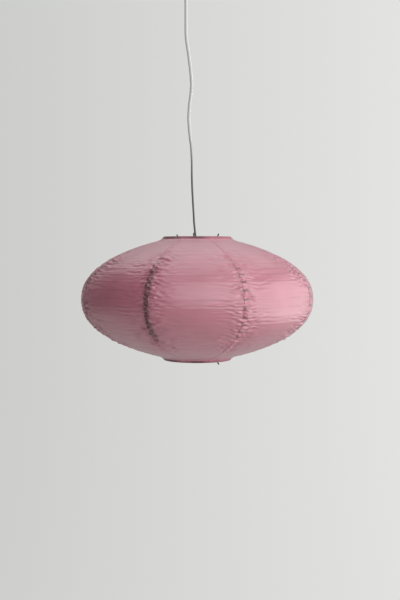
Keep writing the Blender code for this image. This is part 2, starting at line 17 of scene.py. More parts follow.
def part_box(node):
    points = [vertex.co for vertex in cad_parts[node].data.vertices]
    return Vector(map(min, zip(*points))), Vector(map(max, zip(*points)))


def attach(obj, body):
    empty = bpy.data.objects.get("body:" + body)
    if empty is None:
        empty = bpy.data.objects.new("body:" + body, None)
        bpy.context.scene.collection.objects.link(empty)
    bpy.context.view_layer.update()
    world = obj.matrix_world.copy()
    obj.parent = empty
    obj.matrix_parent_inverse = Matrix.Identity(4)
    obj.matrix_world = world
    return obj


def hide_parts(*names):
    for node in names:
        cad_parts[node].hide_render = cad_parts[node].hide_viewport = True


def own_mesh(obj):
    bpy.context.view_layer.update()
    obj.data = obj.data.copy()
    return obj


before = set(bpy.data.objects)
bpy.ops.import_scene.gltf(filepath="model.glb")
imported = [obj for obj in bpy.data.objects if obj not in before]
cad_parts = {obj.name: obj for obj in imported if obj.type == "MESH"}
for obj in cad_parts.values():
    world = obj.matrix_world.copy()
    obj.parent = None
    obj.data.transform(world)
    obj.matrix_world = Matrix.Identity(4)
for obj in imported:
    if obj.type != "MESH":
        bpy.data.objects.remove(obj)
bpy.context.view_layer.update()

MM = 0.001


def middle(node):
    low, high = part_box(node)
    return (low + high) / 2


def half_width(node):
    low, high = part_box(node)
    return (high.x - low.x) / 2


# ---------------------------------------------------------------- sizes
GAP = 0.3 * MM

# Shade
RING_RADIUS = 57.0 * MM
RING_WIRE = 2.4 * MM
HOOP_WIRE = 1.2 * MM
HOOP_COUNT = 26
GORE_COUNT = 8
FIRST_SEAM = math.radians(-22.7)
SEAM_RISE = 0.022            # share by which the hoops stand out at the seams
FULL_RADIUS = 197.5 * MM     # the largest hoop, mid-gore
PAPER = 0.16 * MM
PAPER_OVER_WIRE = 0.70 * MM  # hoop centre to the outer face of the paper glued on it
PAPER_OVER_RING = 1.40 * MM
CREST_WIDTH = 1.25 * MM      # half-width of the crest that a hoop presses into the paper
PAPER_BETWEEN = 0.50 * MM    # how far the paper stands out beside a hoop's crest
LAP_WIDTH = 8.0 * MM
WRINKLE = 5.6 * MM           # from one crumple beside a seam to the next
CRUMPLED_ASIDE = 40 * MM     # how far the crumples reach from a seam
CRUMPLED_UP = 78 * MM        # and from the shade's middle, fading over CRUMPLED_FADE
CRUMPLED_FADE = 5 * MM
CRUMPLES_BEND = 10.0         # how fast they turn from level, per metre
SEAM_STEP = 0.7              # sets each seam's crumples apart from the next one's
HELD_BY_WIRE = 1.3 * MM      # half-width over which a hoop keeps the paper from sinking
RIM_OUTSIDE = 4.6 * MM       # paper folded over a ring: its reach down the outside
RIM_INSIDE = 4.0 * MM

# Expander
EXPANDER_WIRE = 2.2 * MM
EXPANDER_AZIMUTH = math.radians(39.5)
EYE_RADIUS = 6.4 * MM
HOOK_TIP = 5.4 * MM
FOOT_TIP = 5.0 * MM
LEG_SHOULDER = 50.0 * MM
LEG_SHOULDER_DROP = 7.5 * MM
KEEPER_PLACE = (-6.2 * MM, 9.8 * MM)
KEEPER_TIP = 7.8 * MM
HOOK_REACH = RING_WIRE / 2 + 3 * GAP + EXPANDER_WIRE / 2

# Cord: a flat twin cord, two round cores side by side
CORD_WIDTH = 5.4 * MM
CORD_THICKNESS = 3.3 * MM
TWIST_LOW = 0.150            # height over the top ring where the cord starts to turn
TWIST_HIGH = 0.188           # and where its flat side faces the front
DARK_BELOW = 0.100           # height over the top ring under which the cord is darkest

# Places
AXIS_X = middle("expander_nut").x
TOP_RING_Z = middle("top_ring").z
BOTTOM_RING_Z = middle("bottom_ring").z
EQUATOR_Z = (TOP_RING_Z + BOTTOM_RING_Z) / 2

# The cord's route, from the lampholder's grip to the ceiling anchor: distance from the shade's
# axis, and height over the top ring.
CORD_ROUTE = [
    (0.0000, -0.0217), (-0.0001, -0.0170), (-0.0010, -0.0080), (-0.0034, 0.0052),
    (-0.0054, 0.0259), (-0.0066, 0.0465), (-0.0078, 0.0672), (-0.0088, 0.0879),
    (-0.0093, 0.1086), (-0.0094, 0.1293), (-0.0103, 0.1500), (-0.0119, 0.1707),
    (-0.0133, 0.1860), (-0.0143, 0.2017), (-0.0141, 0.2120), (-0.0129, 0.2276),
    (-0.0109, 0.2430), (-0.0095, 0.2586), (-0.0102, 0.2740), (-0.0124, 0.2948),
    (-0.0151, 0.3155), (-0.0177, 0.3327), (-0.0189, 0.3465), (-0.0190, 0.3650),
    (-0.0190, 0.3950), (-0.0190, 0.4300),
]


# ---------------------------------------------------------------- colours and nodes
def linear(code):
    """A linear colour with alpha from an sRGB hex code."""
    channels = [int(code[start:start + 2], 16) / 255 for start in (1, 3, 5)]
    return [c / 12.92 if c <= 0.04045 else ((c + 0.055) / 1.055) ** 2.4 for c in channels] + [1.0]


def add_node(tree, kind, settings=None, inputs=None):
    """Adds a node. Settings are its own properties; inputs are values or links, by socket."""
    made = tree.nodes.new(kind)
    for name, value in (settings or {}).items():
        setattr(made, name, value)
    for name, value in (inputs or {}).items():
        if isinstance(value, bpy.types.NodeSocket):
            tree.links.new(value, made.inputs[name])
        else:
            made.inputs[name].default_value = value
    return made


def start_material(name):
    """An empty node tree with its output and the place of each point, in metres."""
    mat = bpy.data.materials.new(name)
    mat.use_nodes = True
    tree = mat.node_tree
    tree.nodes.clear()
    output = add_node(tree, "ShaderNodeOutputMaterial")
    place = add_node(tree, "ShaderNodeTexCoord").outputs["Object"]
    return mat, tree, output, place


def paper_material(name, face, deep, wire_shadow_strength, gloss, through, glue_and_shade_strength, glaze):
    """Glazed tissue, dyed in the pulp and calendered on one side: thin enough to pass light, with
    a hard shine, short fibres, and level pull lines from being stretched over the hoops. Over the
    wires it is darkened with painted shadow of the wire, partly glue; at the laps and rims it is
    darkened with glue, partly painted shade."""
    mat, tree, output, place = start_material(name)
    fibre = add_node(tree, "ShaderNodeTexNoise", inputs={
        "Vector": place, "Scale": 1 / (1.6 * MM), "Detail": 3.0, "Roughness": 0.6})
    cloud = add_node(tree, "ShaderNodeTexNoise", inputs={
        "Vector": place, "Scale": 1 / (38 * MM), "Detail": 2.0, "Roughness": 0.5})
    worn = add_node(tree, "ShaderNodeMapRange", inputs={
        "Value": cloud.outputs["Fac"], "From Min": 0.35, "From Max": 0.7, "To Max": 0.6})
    dyed = add_node(tree, "ShaderNodeMix", {"data_type": "RGBA"}, {
        0: worn.outputs["Result"], 6: linear(face), 7: linear(deep)})
    wire = add_node(tree, "ShaderNodeAttribute", {"attribute_name": "wire_shadow_and_glue"})
    shown = add_node(tree, "ShaderNodeMath", {"operation": "MULTIPLY"}, {
        0: wire.outputs["Fac"], 1: wire_shadow_strength})
    # Painted shadow: hoops and rings are drawn dark through the paper, partly their glue.
    lined = add_node(tree, "ShaderNodeMix", {"data_type": "RGBA"}, {
        0: shown.outputs[0], 6: dyed.outputs[2], 7: linear("#6A2838")})
    glued = add_node(tree, "ShaderNodeAttribute", {"attribute_name": "glued"})
    blotch = add_node(tree, "ShaderNodeTexNoise", inputs={
        "Vector": place, "Scale": 1 / (6 * MM), "Detail": 3.0, "Roughness": 0.65})
    patch = add_node(tree, "ShaderNodeMapRange", inputs={
        "Value": blotch.outputs["Fac"], "From Min": 0.36, "From Max": 0.56,
        "To Min": 0.6 * glue_and_shade_strength, "To Max": glue_and_shade_strength})
    glue = add_node(tree, "ShaderNodeMath", {"operation": "MULTIPLY"}, {
        0: glued.outputs["Fac"], 1: patch.outputs["Result"]})
    # Glue and painted shade: the front left seam and the left and front of each rim are darkened as
    # shade.
    glue_and_shade_mixed = add_node(tree, "ShaderNodeMix", {"data_type": "RGBA"}, {
        0: glue.outputs[0], 6: lined.outputs[2], 7: linear("#5C1024")})
    grain = add_node(tree, "ShaderNodeMapRange", inputs={
        "Value": fibre.outputs["Fac"], "To Min": 0.93, "To Max": 1.07})
    colour = add_node(tree, "ShaderNodeMix", {"data_type": "RGBA", "blend_type": "MULTIPLY"}, {
        0: 1.0, 6: glue_and_shade_mixed.outputs[2], 7: grain.outputs["Result"]})
    rough = add_node(tree, "ShaderNodeMapRange", inputs={
        "Value": fibre.outputs["Fac"], "To Min": gloss - 0.05, "To Max": gloss + 0.07})
    level = add_node(tree, "ShaderNodeMapping", inputs={
        "Vector": place, "Scale": (0.07, 0.07, 1.0)})
    pull = add_node(tree, "ShaderNodeTexNoise", inputs={
        "Vector": level.outputs[0], "Scale": 1 / (3.2 * MM), "Detail": 2.0, "Roughness": 0.5})
    lines = add_node(tree, "ShaderNodeBump", inputs={
        "Height": pull.outputs["Fac"], "Distance": 0.35 * MM, "Strength": 0.7})
    relief = add_node(tree, "ShaderNodeBump", inputs={
        "Height": fibre.outputs["Fac"], "Distance": 0.05 * MM, "Strength": 0.5,
        "Normal": lines.outputs["Normal"]})
    front = add_node(tree, "ShaderNodeBsdfPrincipled", inputs={
        "Base Color": colour.outputs[2], "Roughness": rough.outputs["Result"], "IOR": 1.6,
        "Coat Weight": glaze, "Coat Roughness": 0.44, "Coat IOR": 2.1,
        "Normal": relief.outputs["Normal"]})
    back = add_node(tree, "ShaderNodeBsdfTranslucent", inputs={
        "Color": colour.outputs[2], "Normal": relief.outputs["Normal"]})
    both = add_node(tree, "ShaderNodeMixShader", inputs={
        0: through, 1: front.outputs[0], 2: back.outputs[0]})
    tree.links.new(both.outputs[0], output.inputs["Surface"])
    return mat


def metal_material(name, face, worn_face, roughness, streak, spread):
    """A bare or plated metal: its colour varies a little, and its roughness follows fine marks of
    the given size, drawn out along the wire or round the turned piece by spread."""
    mat, tree, output, place = start_material(name)
    drawn = add_node(tree, "ShaderNodeMapping", inputs={"Vector": place, "Scale": spread})
    marks = add_node(tree, "ShaderNodeTexNoise", inputs={
        "Vector": drawn.outputs[0], "Scale": 1 / streak, "Detail": 4.0})
    handled = add_node(tree, "ShaderNodeTexNoise", inputs={
        "Vector": place, "Scale": 1 / (9 * MM), "Detail": 3.0})
    tarnish = add_node(tree, "ShaderNodeMapRange", inputs={
        "Value": handled.outputs["Fac"], "From Min": 0.45, "From Max": 0.7})
    colour = add_node(tree, "ShaderNodeMix", {"data_type": "RGBA"}, {
        0: tarnish.outputs["Result"], 6: linear(face), 7: linear(worn_face)})
    rough = add_node(tree, "ShaderNodeMapRange", inputs={
        "Value": marks.outputs["Fac"], "To Min": roughness - 0.08, "To Max": roughness + 0.14})
    relief = add_node(tree, "ShaderNodeBump", inputs={
        "Height": marks.outputs["Fac"], "Distance": 0.02 * MM, "Strength": 0.5})
    shader = add_node(tree, "ShaderNodeBsdfPrincipled", inputs={
        "Base Color": colour.outputs[2], "Roughness": rough.outputs["Result"], "Metallic": 1.0,
        "Normal": relief.outputs["Normal"]})
    tree.links.new(shader.outputs[0], output.inputs["Surface"])
    return mat


def moulded_material(name, face, shade, roughness, grit, depth, coat=0.0, glow=0.0):
    """A moulded or glazed white: a faint cloud of colour, and the fine skin of its mould."""
    mat, tree, output, place = start_material(name)
    cloud = add_node(tree, "ShaderNodeTexNoise", inputs={
        "Vector": place, "Scale": 1 / (14 * MM), "Detail": 2.0})
    skin = add_node(tree, "ShaderNodeTexNoise", inputs={
        "Vector": place, "Scale": 1 / grit, "Detail": 3.0})
    colour = add_node(tree, "ShaderNodeMix", {"data_type": "RGBA"}, {
        0: cloud.outputs["Fac"], 6: linear(face), 7: linear(shade)})
    rough = add_node(tree, "ShaderNodeMapRange", inputs={
        "Value": skin.outputs["Fac"], "To Min": roughness - 0.05, "To Max": roughness + 0.1})
    relief = add_node(tree, "ShaderNodeBump", inputs={
        "Height": skin.outputs["Fac"], "Distance": depth, "Strength": 0.5})
    shader = add_node(tree, "ShaderNodeBsdfPrincipled", inputs={
        "Base Color": colour.outputs[2], "Roughness": rough.outputs["Result"], "IOR": 1.5,
        "Coat Weight": coat, "Coat Roughness": 0.08, "Subsurface Weight": glow,
        "Subsurface Radius": (1.0, 0.95, 0.9), "Subsurface Scale": 2 * MM,
        "Normal": relief.outputs["Normal"]})
    tree.links.new(shader.outputs[0], output.inputs["Surface"])
    return mat


def cord_material():
    """Extruded white PVC over two cores, one core painted grey as painted shade for the side away
    from the light: satin, with faint die lines along it, and darker towards the lampholder."""
    mat, tree, output, place = start_material("pvc_twin_cord")
    core = add_node(tree, "ShaderNodeAttribute", {"attribute_name": "shaded_core"})
    low = add_node(tree, "ShaderNodeAttribute", {"attribute_name": "by_lamp"})
    white = add_node(tree, "ShaderNodeMix", {"data_type": "RGBA"}, {
        0: low.outputs["Fac"], 6: linear("#DCDCD8"), 7: linear("#77766F")})
    # The grey core: painted shade for the side of the white cord away from the light.
    grey = add_node(tree, "ShaderNodeMix", {"data_type": "RGBA"}, {
        0: low.outputs["Fac"], 6: linear("#B4B4B1"), 7: linear("#5E5C5A")})
    colour = add_node(tree, "ShaderNodeMix", {"data_type": "RGBA"}, {
        0: core.outputs["Fac"], 6: white.outputs[2], 7: grey.outputs[2]})
    drawn = add_node(tree, "ShaderNodeMapping", inputs={
        "Vector": place, "Scale": (1.0, 1.0, 0.05)})
    lines = add_node(tree, "ShaderNodeTexNoise", inputs={
        "Vector": drawn.outputs[0], "Scale": 1 / (0.5 * MM), "Detail": 2.0})
    rough = add_node(tree, "ShaderNodeMapRange", inputs={
        "Value": lines.outputs["Fac"], "To Min": 0.36, "To Max": 0.5})
    relief = add_node(tree, "ShaderNodeBump", inputs={
        "Height": lines.outputs["Fac"], "Distance": 0.03 * MM, "Strength": 0.5})
    shader = add_node(tree, "ShaderNodeBsdfPrincipled", inputs={
        "Base Color": colour.outputs[2], "Roughness": rough.outputs["Result"], "IOR": 1.53,
        "Normal": relief.outputs["Normal"]})
    tree.links.new(shader.outputs[0], output.inputs["Surface"])
    return mat


MATERIALS = {
    "gore": paper_material("glazed_tissue_paper", "#D07A8F", "#C46D80", 0.30, 0.36, 0.14, 0.6,
                           1.0),
    "lap": paper_material("glued_double_paper", "#D07A8F", "#C46D80", 0.24, 0.36, 0.12, 1.0, 0.85),
    "rim": paper_material("rim_fold_paper", "#C97488", "#B8667A", 0.3, 0.4, 0.07, 1.0, 0.25),
    # Hard-drawn spring steel: dark grey, satin, with drawing marks along the wire.
    "spring": metal_material("drawn_spring_steel", "#6B6867", "#4A4747", 0.38, 0.4 * MM,
                             (1.0, 1.0, 0.12)),
    # Galvanised tie wire: paler, dull zinc.
    "tie": metal_material("galvanised_wire", "#8C8A88", "#67625F", 0.46, 0.5 * MM,
                          (1.0, 1.0, 1.0)),
    # Zinc-plated pressed steel: bright grey with a faint bloom.
    "zinc": metal_material("zinc_plated_steel", "#C2C4C6", "#9FA19F", 0.32, 0.8 * MM,
                           (0.15, 1.0, 1.0)),
    "brass": metal_material("stamped_brass", "#D9B36A", "#A67F3E", 0.28, 0.6 * MM,
                            (1.0, 1.0, 0.3)),
    "nickel": metal_material("nickel_plated_cap", "#D3D0C8", "#AFAAA0", 0.24, 0.6 * MM,
                             (1.0, 1.0, 0.3)),
    # Moulded thermoset: hard satin white with a fine eroded skin.
    "plastic": moulded_material("moulded_white_plastic", "#ECEBE6", "#E2E0DA", 0.38,
                                0.7 * MM, 0.03 * MM),
    # Steatite, glazed and fired: creamy, wet-looking gloss.
    "ceramic": moulded_material("glazed_steatite", "#EDE8DC", "#DED7C6", 0.24, 2.4 * MM,
                                0.05 * MM, coat=0.6),
    # Blow-moulded polycarbonate diffuser: milky, soft gloss, light goes a little way in.
    "opal": moulded_material("opal_polycarbonate", "#F4F3EF", "#ECEAE4", 0.26, 1.8 * MM,
                             0.01 * MM, glow=0.35),
    "cord": cord_material(),
}


# ---------------------------------------------------------------- making pieces
def finish_piece(name, mesh, material, body, stands_for=(), smooth=35.0):
    """Puts a mesh into the scene as a named piece of one body."""
    mesh.shade_smooth()
    if smooth:
        mesh.set_sharp_from_angle(angle=math.radians(smooth))
    piece = bpy.data.objects.new(name, mesh)
    mesh.materials.clear()
    mesh.materials.append(MATERIALS[material])
    bpy.context.scene.collection.objects.link(piece)
    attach(piece, body)
    if stands_for:
        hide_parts(*stands_for)
    return piece


def mesh_from(bm, name):
    mesh = bpy.data.meshes.new(name)
    bm.to_mesh(mesh)
    bm.free()
    return mesh


def sheet_mesh(name, face, thickness, values, wraps=False):
    """A thin closed sheet: face[i][j] is its outer face, and values are named grids of numbers
    kept at its points. A sheet that wraps closes on itself along i."""
    face = np.asarray(face, float)
    across, along = face.shape[:2]
    if wraps:
        ahead = np.roll(face, -1, axis=0) - np.roll(face, 1, axis=0)
    else:
        ahead = np.gradient(face, axis=0)
    down = np.gradient(face, axis=1)
    normal = np.cross(ahead, down)
    normal /= np.maximum(np.linalg.norm(normal, axis=2, keepdims=True), 1e-12)
    outwards = face - np.array([AXIS_X, 0, EQUATOR_Z])
    if (normal * outwards).sum() < 0:
        normal = -normal
    points = np.concatenate([face.reshape(-1, 3), (face - normal * thickness).reshape(-1, 3)])
    inner = across * along

    def at(i, j, layer=0):
        return (i % across) * along + j + layer * inner

    faces = []
    spans = across if wraps else across - 1
    for i in range(spans):
        for j in range(along - 1):
            faces.append((at(i, j), at(i, j + 1), at(i + 1, j + 1), at(i + 1, j)))
            faces.append((at(i + 1, j, 1), at(i + 1, j + 1, 1), at(i, j + 1, 1), at(i, j, 1)))
        for j in (0, along - 1):
            edge = (at(i, j), at(i + 1, j), at(i + 1, j, 1), at(i, j, 1))
            faces.append(edge if j == 0 else tuple(reversed(edge)))
    if not wraps:
        for i in (0, across - 1):
            for j in range(along - 1):
                edge = (at(i, j), at(i, j, 1), at(i, j + 1, 1), at(i, j + 1))
                faces.append(edge if i == 0 else tuple(reversed(edge)))
    mesh = bpy.data.meshes.new(name)
    mesh.from_pydata(points.tolist(), [], faces)
    bm = bmesh.new()
    bm.from_mesh(mesh)
    bmesh.ops.recalc_face_normals(bm, faces=bm.faces)
    bm.to_mesh(mesh)
    bm.free()
    for key, grid in values.items():
        held = mesh.attributes.new(key, "FLOAT", "POINT")
        flat = np.asarray(grid, float).reshape(-1)
        held.data.foreach_set("value", np.concatenate([flat, flat]).astype(np.float32))
    return mesh


def swept_mesh(name, points, section, cyclic=False, turn=None, ends="round"):
    """A section, a list of (across, up) points, carried along a line of points. turn gives the
    angle of the section at each point; ends are rounded over a short stretch."""
    points = [Vector(point) for point in points]
    count = len(points)
    tangents = []
    for index, point in enumerate(points):
        if cyclic:
            tangents.append((points[(index + 1) % count] - points[index - 1]).normalized())
        else:
            before = points[max(index - 1, 0)]
            after = points[min(index + 1, count - 1)]
            tangents.append((after - before).normalized())
    side = Vector((1, 0, 0))
    if abs(tangents[0].dot(side)) > 0.9:
        side = Vector((0, 0, 1))
    rings = []
    for index, (point, tangent) in enumerate(zip(points, tangents)):
        side = (side - tangent * side.dot(tangent)).normalized()
        up = tangent.cross(side)
        angle = turn[index] if turn else 0.0
        first = side * math.cos(angle) + up * math.sin(angle)
        second = up * math.cos(angle) - side * math.sin(angle)
        rings.append((point, tangent, first, second))
    bm = bmesh.new()
    loops = []
    reach = max(math.hypot(a, b) for a, b in section)
    if not cyclic and ends == "round":
        point, tangent, first, second = rings[0]
        for share, back in ((0.5, 0.85), (0.85, 0.5)):
            loops.append([bm.verts.new(point - tangent * reach * back * 0.6
                                       + (first * a + second * b) * share) for a, b in section])
    for point, tangent, first, second in rings:
        loops.append([bm.verts.new(point + first * a + second * b) for a, b in section])
    if not cyclic and ends == "round":
        point, tangent, first, second = rings[-1]
        for share, ahead in ((0.85, 0.5), (0.5, 0.85)):
            loops.append([bm.verts.new(point + tangent * reach * ahead * 0.6
                                       + (first * a + second * b) * share) for a, b in section])
    pairs = list(zip(loops, loops[1:]))
    if cyclic:
        pairs.append((loops[-1], loops[0]))
    size = len(section)
    for one, two in pairs:
        for index in range(size):
            after = (index + 1) % size
            bm.faces.new((one[index], one[after], two[after], two[index]))
    if not cyclic:
        bm.faces.new(list(reversed(loops[0])))
        bm.faces.new(loops[-1])
    bmesh.ops.recalc_face_normals(bm, faces=bm.faces)
    return mesh_from(bm, name)


def circle(radius, sides):
    return [(radius * math.cos(2 * math.pi * step / sides),
             radius * math.sin(2 * math.pi * step / sides)) for step in range(sides)]


def softened(outline, size, steps=3):
    """Rounds each corner of a (radius, height) outline, but not where it meets the axis."""
    rounded_line = []
    count = len(outline)
    for index, corner in enumerate(outline):
        before = Vector(outline[index - 1])
        after = Vector(outline[(index + 1) % count])
        corner = Vector(corner)
        to_before, to_after = before - corner, after - corner
        reach = min(size, to_before.length * 0.45, to_after.length * 0.45)
        if corner.x < 1e-7 or reach < 1e-6:
            rounded_line.append(tuple(corner))
            continue
        start = corner + to_before.normalized() * reach
        end = corner + to_after.normalized() * reach
        for step in range(steps + 1):
            t = step / steps
            rounded_line.append(tuple(start.lerp(corner, t).lerp(corner.lerp(end, t), t)))
    return rounded_line


def turned_mesh(name, outline, centre, segments=72, shape=None, along="Z"):
    """A closed (radius, height) outline turned about a vertical line through centre. shape moves
    each point: it takes the radius, height and angle, and returns the new radius."""
    bm = bmesh.new()
    rows = []
    for radius, height in outline:
        if radius < 1e-7:
            rows.append([bm.verts.new((0, 0, height))] * segments)
            continue
        row = []
        for step in range(segments):
            angle = 2 * math.pi * step / segments
            reach = shape(radius, height, angle) if shape else radius
            row.append(bm.verts.new((reach * math.cos(angle), reach * math.sin(angle), height)))
        rows.append(row)
    axis_to_axis = outline[0][0] < 1e-7 and outline[-1][0] < 1e-7
    pairs = list(zip(rows, rows[1:]))
    if not axis_to_axis:
        pairs.append((rows[-1], rows[0]))
    for one, two in pairs:
        for step in range(segments):
            after = (step + 1) % segments
            corners = []
            for vert in (one[step], one[after], two[after], two[step]):
                if vert not in corners:
                    corners.append(vert)
            if len(corners) > 2:
                bm.faces.new(corners)
    bmesh.ops.recalc_face_normals(bm, faces=bm.faces)
    if along == "X":
        bmesh.ops.rotate(bm, verts=bm.verts, matrix=Matrix.Rotation(math.pi / 2, 3, "Y"))
    bmesh.ops.translate(bm, verts=bm.verts, vec=centre)
    return mesh_from(bm, name)


def plate_mesh(name, outline, low, high, centre, bevel, plane="XY"):
    """A flat outline made into a plate from low to high, with bevelled edges."""
    bm = bmesh.new()
    if plane == "XY":
        corners = [(x, y, low) for x, y in outline]
        move = (0, 0, high - low)
    else:
        corners = [(x, low, z) for x, z in outline]
        move = (0, high - low, 0)
    face = bm.faces.new([bm.verts.new(corner) for corner in corners])
    raised_part = bmesh.ops.extrude_face_region(bm, geom=[face])
    verts = [item for item in raised_part["geom"] if isinstance(item, bmesh.types.BMVert)]
    bmesh.ops.translate(bm, verts=verts, vec=move)
    bmesh.ops.recalc_face_normals(bm, faces=bm.faces)
    edges = [edge for edge in bm.edges if edge.calc_face_angle(0) > math.radians(40)]
    bmesh.ops.bevel(bm, geom=edges, offset=bevel, segments=2, profile=0.5, affect="EDGES")
    bmesh.ops.translate(bm, verts=bm.verts, vec=centre)
    return mesh_from(bm, name)


def drilled(mesh, radius, length, places, along="Z"):
    """Cuts round holes through a mesh."""
    turn = {"X": Matrix.Rotation(math.pi / 2, 4, "Y"), "Z": Matrix.Identity(4)}[along]
    base = bpy.data.objects.new("drilled_base", mesh)
    bpy.context.scene.collection.objects.link(base)
    cutters = []
    for place in places:
        bm = bmesh.new()
        bmesh.ops.create_cone(bm, cap_ends=True, segments=32, radius1=radius, radius2=radius,
                              depth=length, matrix=Matrix.Translation(place) @ turn)
        cutter = bpy.data.objects.new("drill", mesh_from(bm, "drill"))
        bpy.context.scene.collection.objects.link(cutter)
        cutters.append(cutter)
        cut = base.modifiers.new("hole", "BOOLEAN")
        cut.operation = "DIFFERENCE"
        cut.solver = "EXACT"
        cut.object = cutter
    bpy.context.view_layer.update()
    graph = bpy.context.evaluated_depsgraph_get()
    result = bpy.data.meshes.new_from_object(base.evaluated_get(graph))
    for obj in [base] + cutters:
        bpy.data.objects.remove(obj)
    result.name = mesh.name
    return result


def on_azimuth(azimuth, radius, height):
    """A point at an azimuth round the shade's axis, from the front (-Y) towards the right."""
    return Vector((AXIS_X + radius * math.sin(azimuth), -radius * math.cos(azimuth), height))


def curve_point(before, start, end, after, t):
    """A point t of the way from start to end on a smooth curve through the four."""
    return 0.5 * ((2 * start) + (end - before) * t
                  + (2 * before - 5 * start + 4 * end - after) * t * t
                  + (3 * start - before - 3 * end + after) * t ** 3)


def rounded(route, steps):
    """A smooth curve through the route's points, with that many steps from one to the next."""
    ends = [route[0] * 2 - route[1]] + route + [route[-1] * 2 - route[-2]]
    points = []
    for before, start, end, after in zip(ends, ends[1:], ends[2:], ends[3:]):
        for step in range(steps):
            points.append(curve_point(before, start, end, after, step / steps))
    return points + [route[-1]]


def evenly(points, count):
    """That many points at even spacing along a line of points."""
    lengths = [0.0]
    for a, b in zip(points, points[1:]):
        lengths.append(lengths[-1] + (b - a).length)
    spaced = []
    index = 0
    for step in range(count):
        wanted = lengths[-1] * step / (count - 1)
        while index < len(points) - 2 and lengths[index + 1] < wanted:
            index += 1
        span = lengths[index + 1] - lengths[index]
        spaced.append(points[index].lerp(points[index + 1], (wanted - lengths[index]) / span))
    return spaced


# ---------------------------------------------------------------- camera
def make_camera():
    """Standing level with the lantern's top, 1.7 m in front of it, looking a little down."""
    data = bpy.data.cameras.new("camera")
    data.lens = 60.0
    data.sensor_width = 36.0
    data.clip_end = 50.0
    camera = bpy.data.objects.new("camera", data)
    camera.location = (AXIS_X + 0.0047, -1.724, -0.5174)
    camera.rotation_euler = (math.radians(90 - 2.862), 0, 0)
    bpy.context.scene.collection.objects.link(camera)
    bpy.context.scene.camera = camera


# ---------------------------------------------------------------- cord
CORD_STEPS = 150


def twin_section():
    """Two round cores joined side by side, as (across, up) points."""
    core = CORD_THICKNESS / 2
    apart = CORD_WIDTH / 2 - core
    opening = math.acos(apart / core)
    steps = 10
    section = []
    for side in (1, -1):
        for step in range(steps):
            t = (step + 0.5) / steps
            angle = (math.pi - opening) * (2 * t - 1)
            if side < 0:
                angle += math.pi
            section.append((side * apart + core * math.cos(angle), core * math.sin(angle)))
    return section


def make_cord():
    route = [Vector((AXIS_X + x, 0, TOP_RING_Z + z)) for x, z in CORD_ROUTE]
    route.append(Vector((0, 0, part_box("cord_anchor")[0].z - GAP)))
    points = evenly(rounded(route, 12), CORD_STEPS)
    turn = []
    low = []
    for point in points:
        over_ring = point.z - TOP_RING_Z
        t = min(max((over_ring - TWIST_LOW) / (TWIST_HIGH - TWIST_LOW), 0.0), 1.0)
        turn.append(math.pi / 2 * (1 - t * t * (3 - 2 * t)))
        t = min(max((over_ring - DARK_BELOW) / (TWIST_HIGH - DARK_BELOW), 0.0), 1.0)
        low.append(1 - t)
    section = twin_section()
    mesh = swept_mesh("flat_cord", points, section, turn=turn, ends="flat")
    grey = mesh.attributes.new("shaded_core", "FLOAT", "POINT")
    lamp = mesh.attributes.new("by_lamp", "FLOAT", "POINT")
    size = len(section)
    for index in range(len(points) * size):
        # One core painted grey: painted shade on the white cord's side away from the light.
        grey.data[index].value = 1.0 if section[index % size][0] < 0 else 0.0
        lamp.data[index].value = low[index // size]
    piece = finish_piece("flat_cord", mesh, "cord", "suspension", ["cord"], smooth=60.0)


# ---------------------------------------------------------------- the paper's form
def seam_share(azimuth):
    """1 on a seam, 0 at the middle of a gore."""
    return 1 - abs(math.sin((azimuth - FIRST_SEAM) * GORE_COUNT / 2))


def raised(radius, azimuth):
    """A hoop's radius at an azimuth: it stands out a little at the seams."""
    fade = (radius - RING_RADIUS) / (FULL_RADIUS - RING_RADIUS)
    return radius * (1 + SEAM_RISE * seam_share(azimuth) * max(fade, 0.0))


def hoop_lines():
    """Mid-gore radius and height of the top ring, each hoop and the bottom ring."""
    lines = [(RING_RADIUS, TOP_RING_Z)]
    for number in range(1, HOOP_COUNT + 1):
        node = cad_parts[f"hoop_{number:02d}"]
        at_seam = max(math.hypot(v.co.x - AXIS_X, v.co.y) for v in node.data.vertices)
        at_seam -= HOOP_WIRE / 2
        radius = at_seam
        for _ in range(4):
            radius = at_seam / (raised(radius, FIRST_SEAM) / radius)
        lines.append((radius, middle(f"hoop_{number:02d}").z))
    lines.append((RING_RADIUS, BOTTOM_RING_Z))
    return lines


HOOPS = hoop_lines()


def outward_directions():
    """At each ring and hoop, the direction square to the paper, as (out, up)."""
    directions = []
    last = len(HOOPS) - 1
    for index in range(len(HOOPS)):
        if index in (0, last):
            directions.append(Vector((1.0, 0.0)))
            continue
        before, after = HOOPS[index - 1], HOOPS[index + 1]
        directions.append(Vector((before[1] - after[1], after[0] - before[0])).normalized())
    return directions


OUTWARD = outward_directions()
GAP_LENGTHS = [math.dist(a, b) for a, b in zip(HOOPS, HOOPS[1:])]


def crest(index):
    return PAPER_OVER_RING if index in (0, len(HOOPS) - 1) else PAPER_OVER_WIRE


def from_seam(azimuth, radius):
    """Signed distance along the paper to the nearest seam, and that seam's number."""
    step = 2 * math.pi / GORE_COUNT
    number = round((azimuth - FIRST_SEAM) / step)
    return (azimuth - FIRST_SEAM - number * step) * radius, number % GORE_COUNT


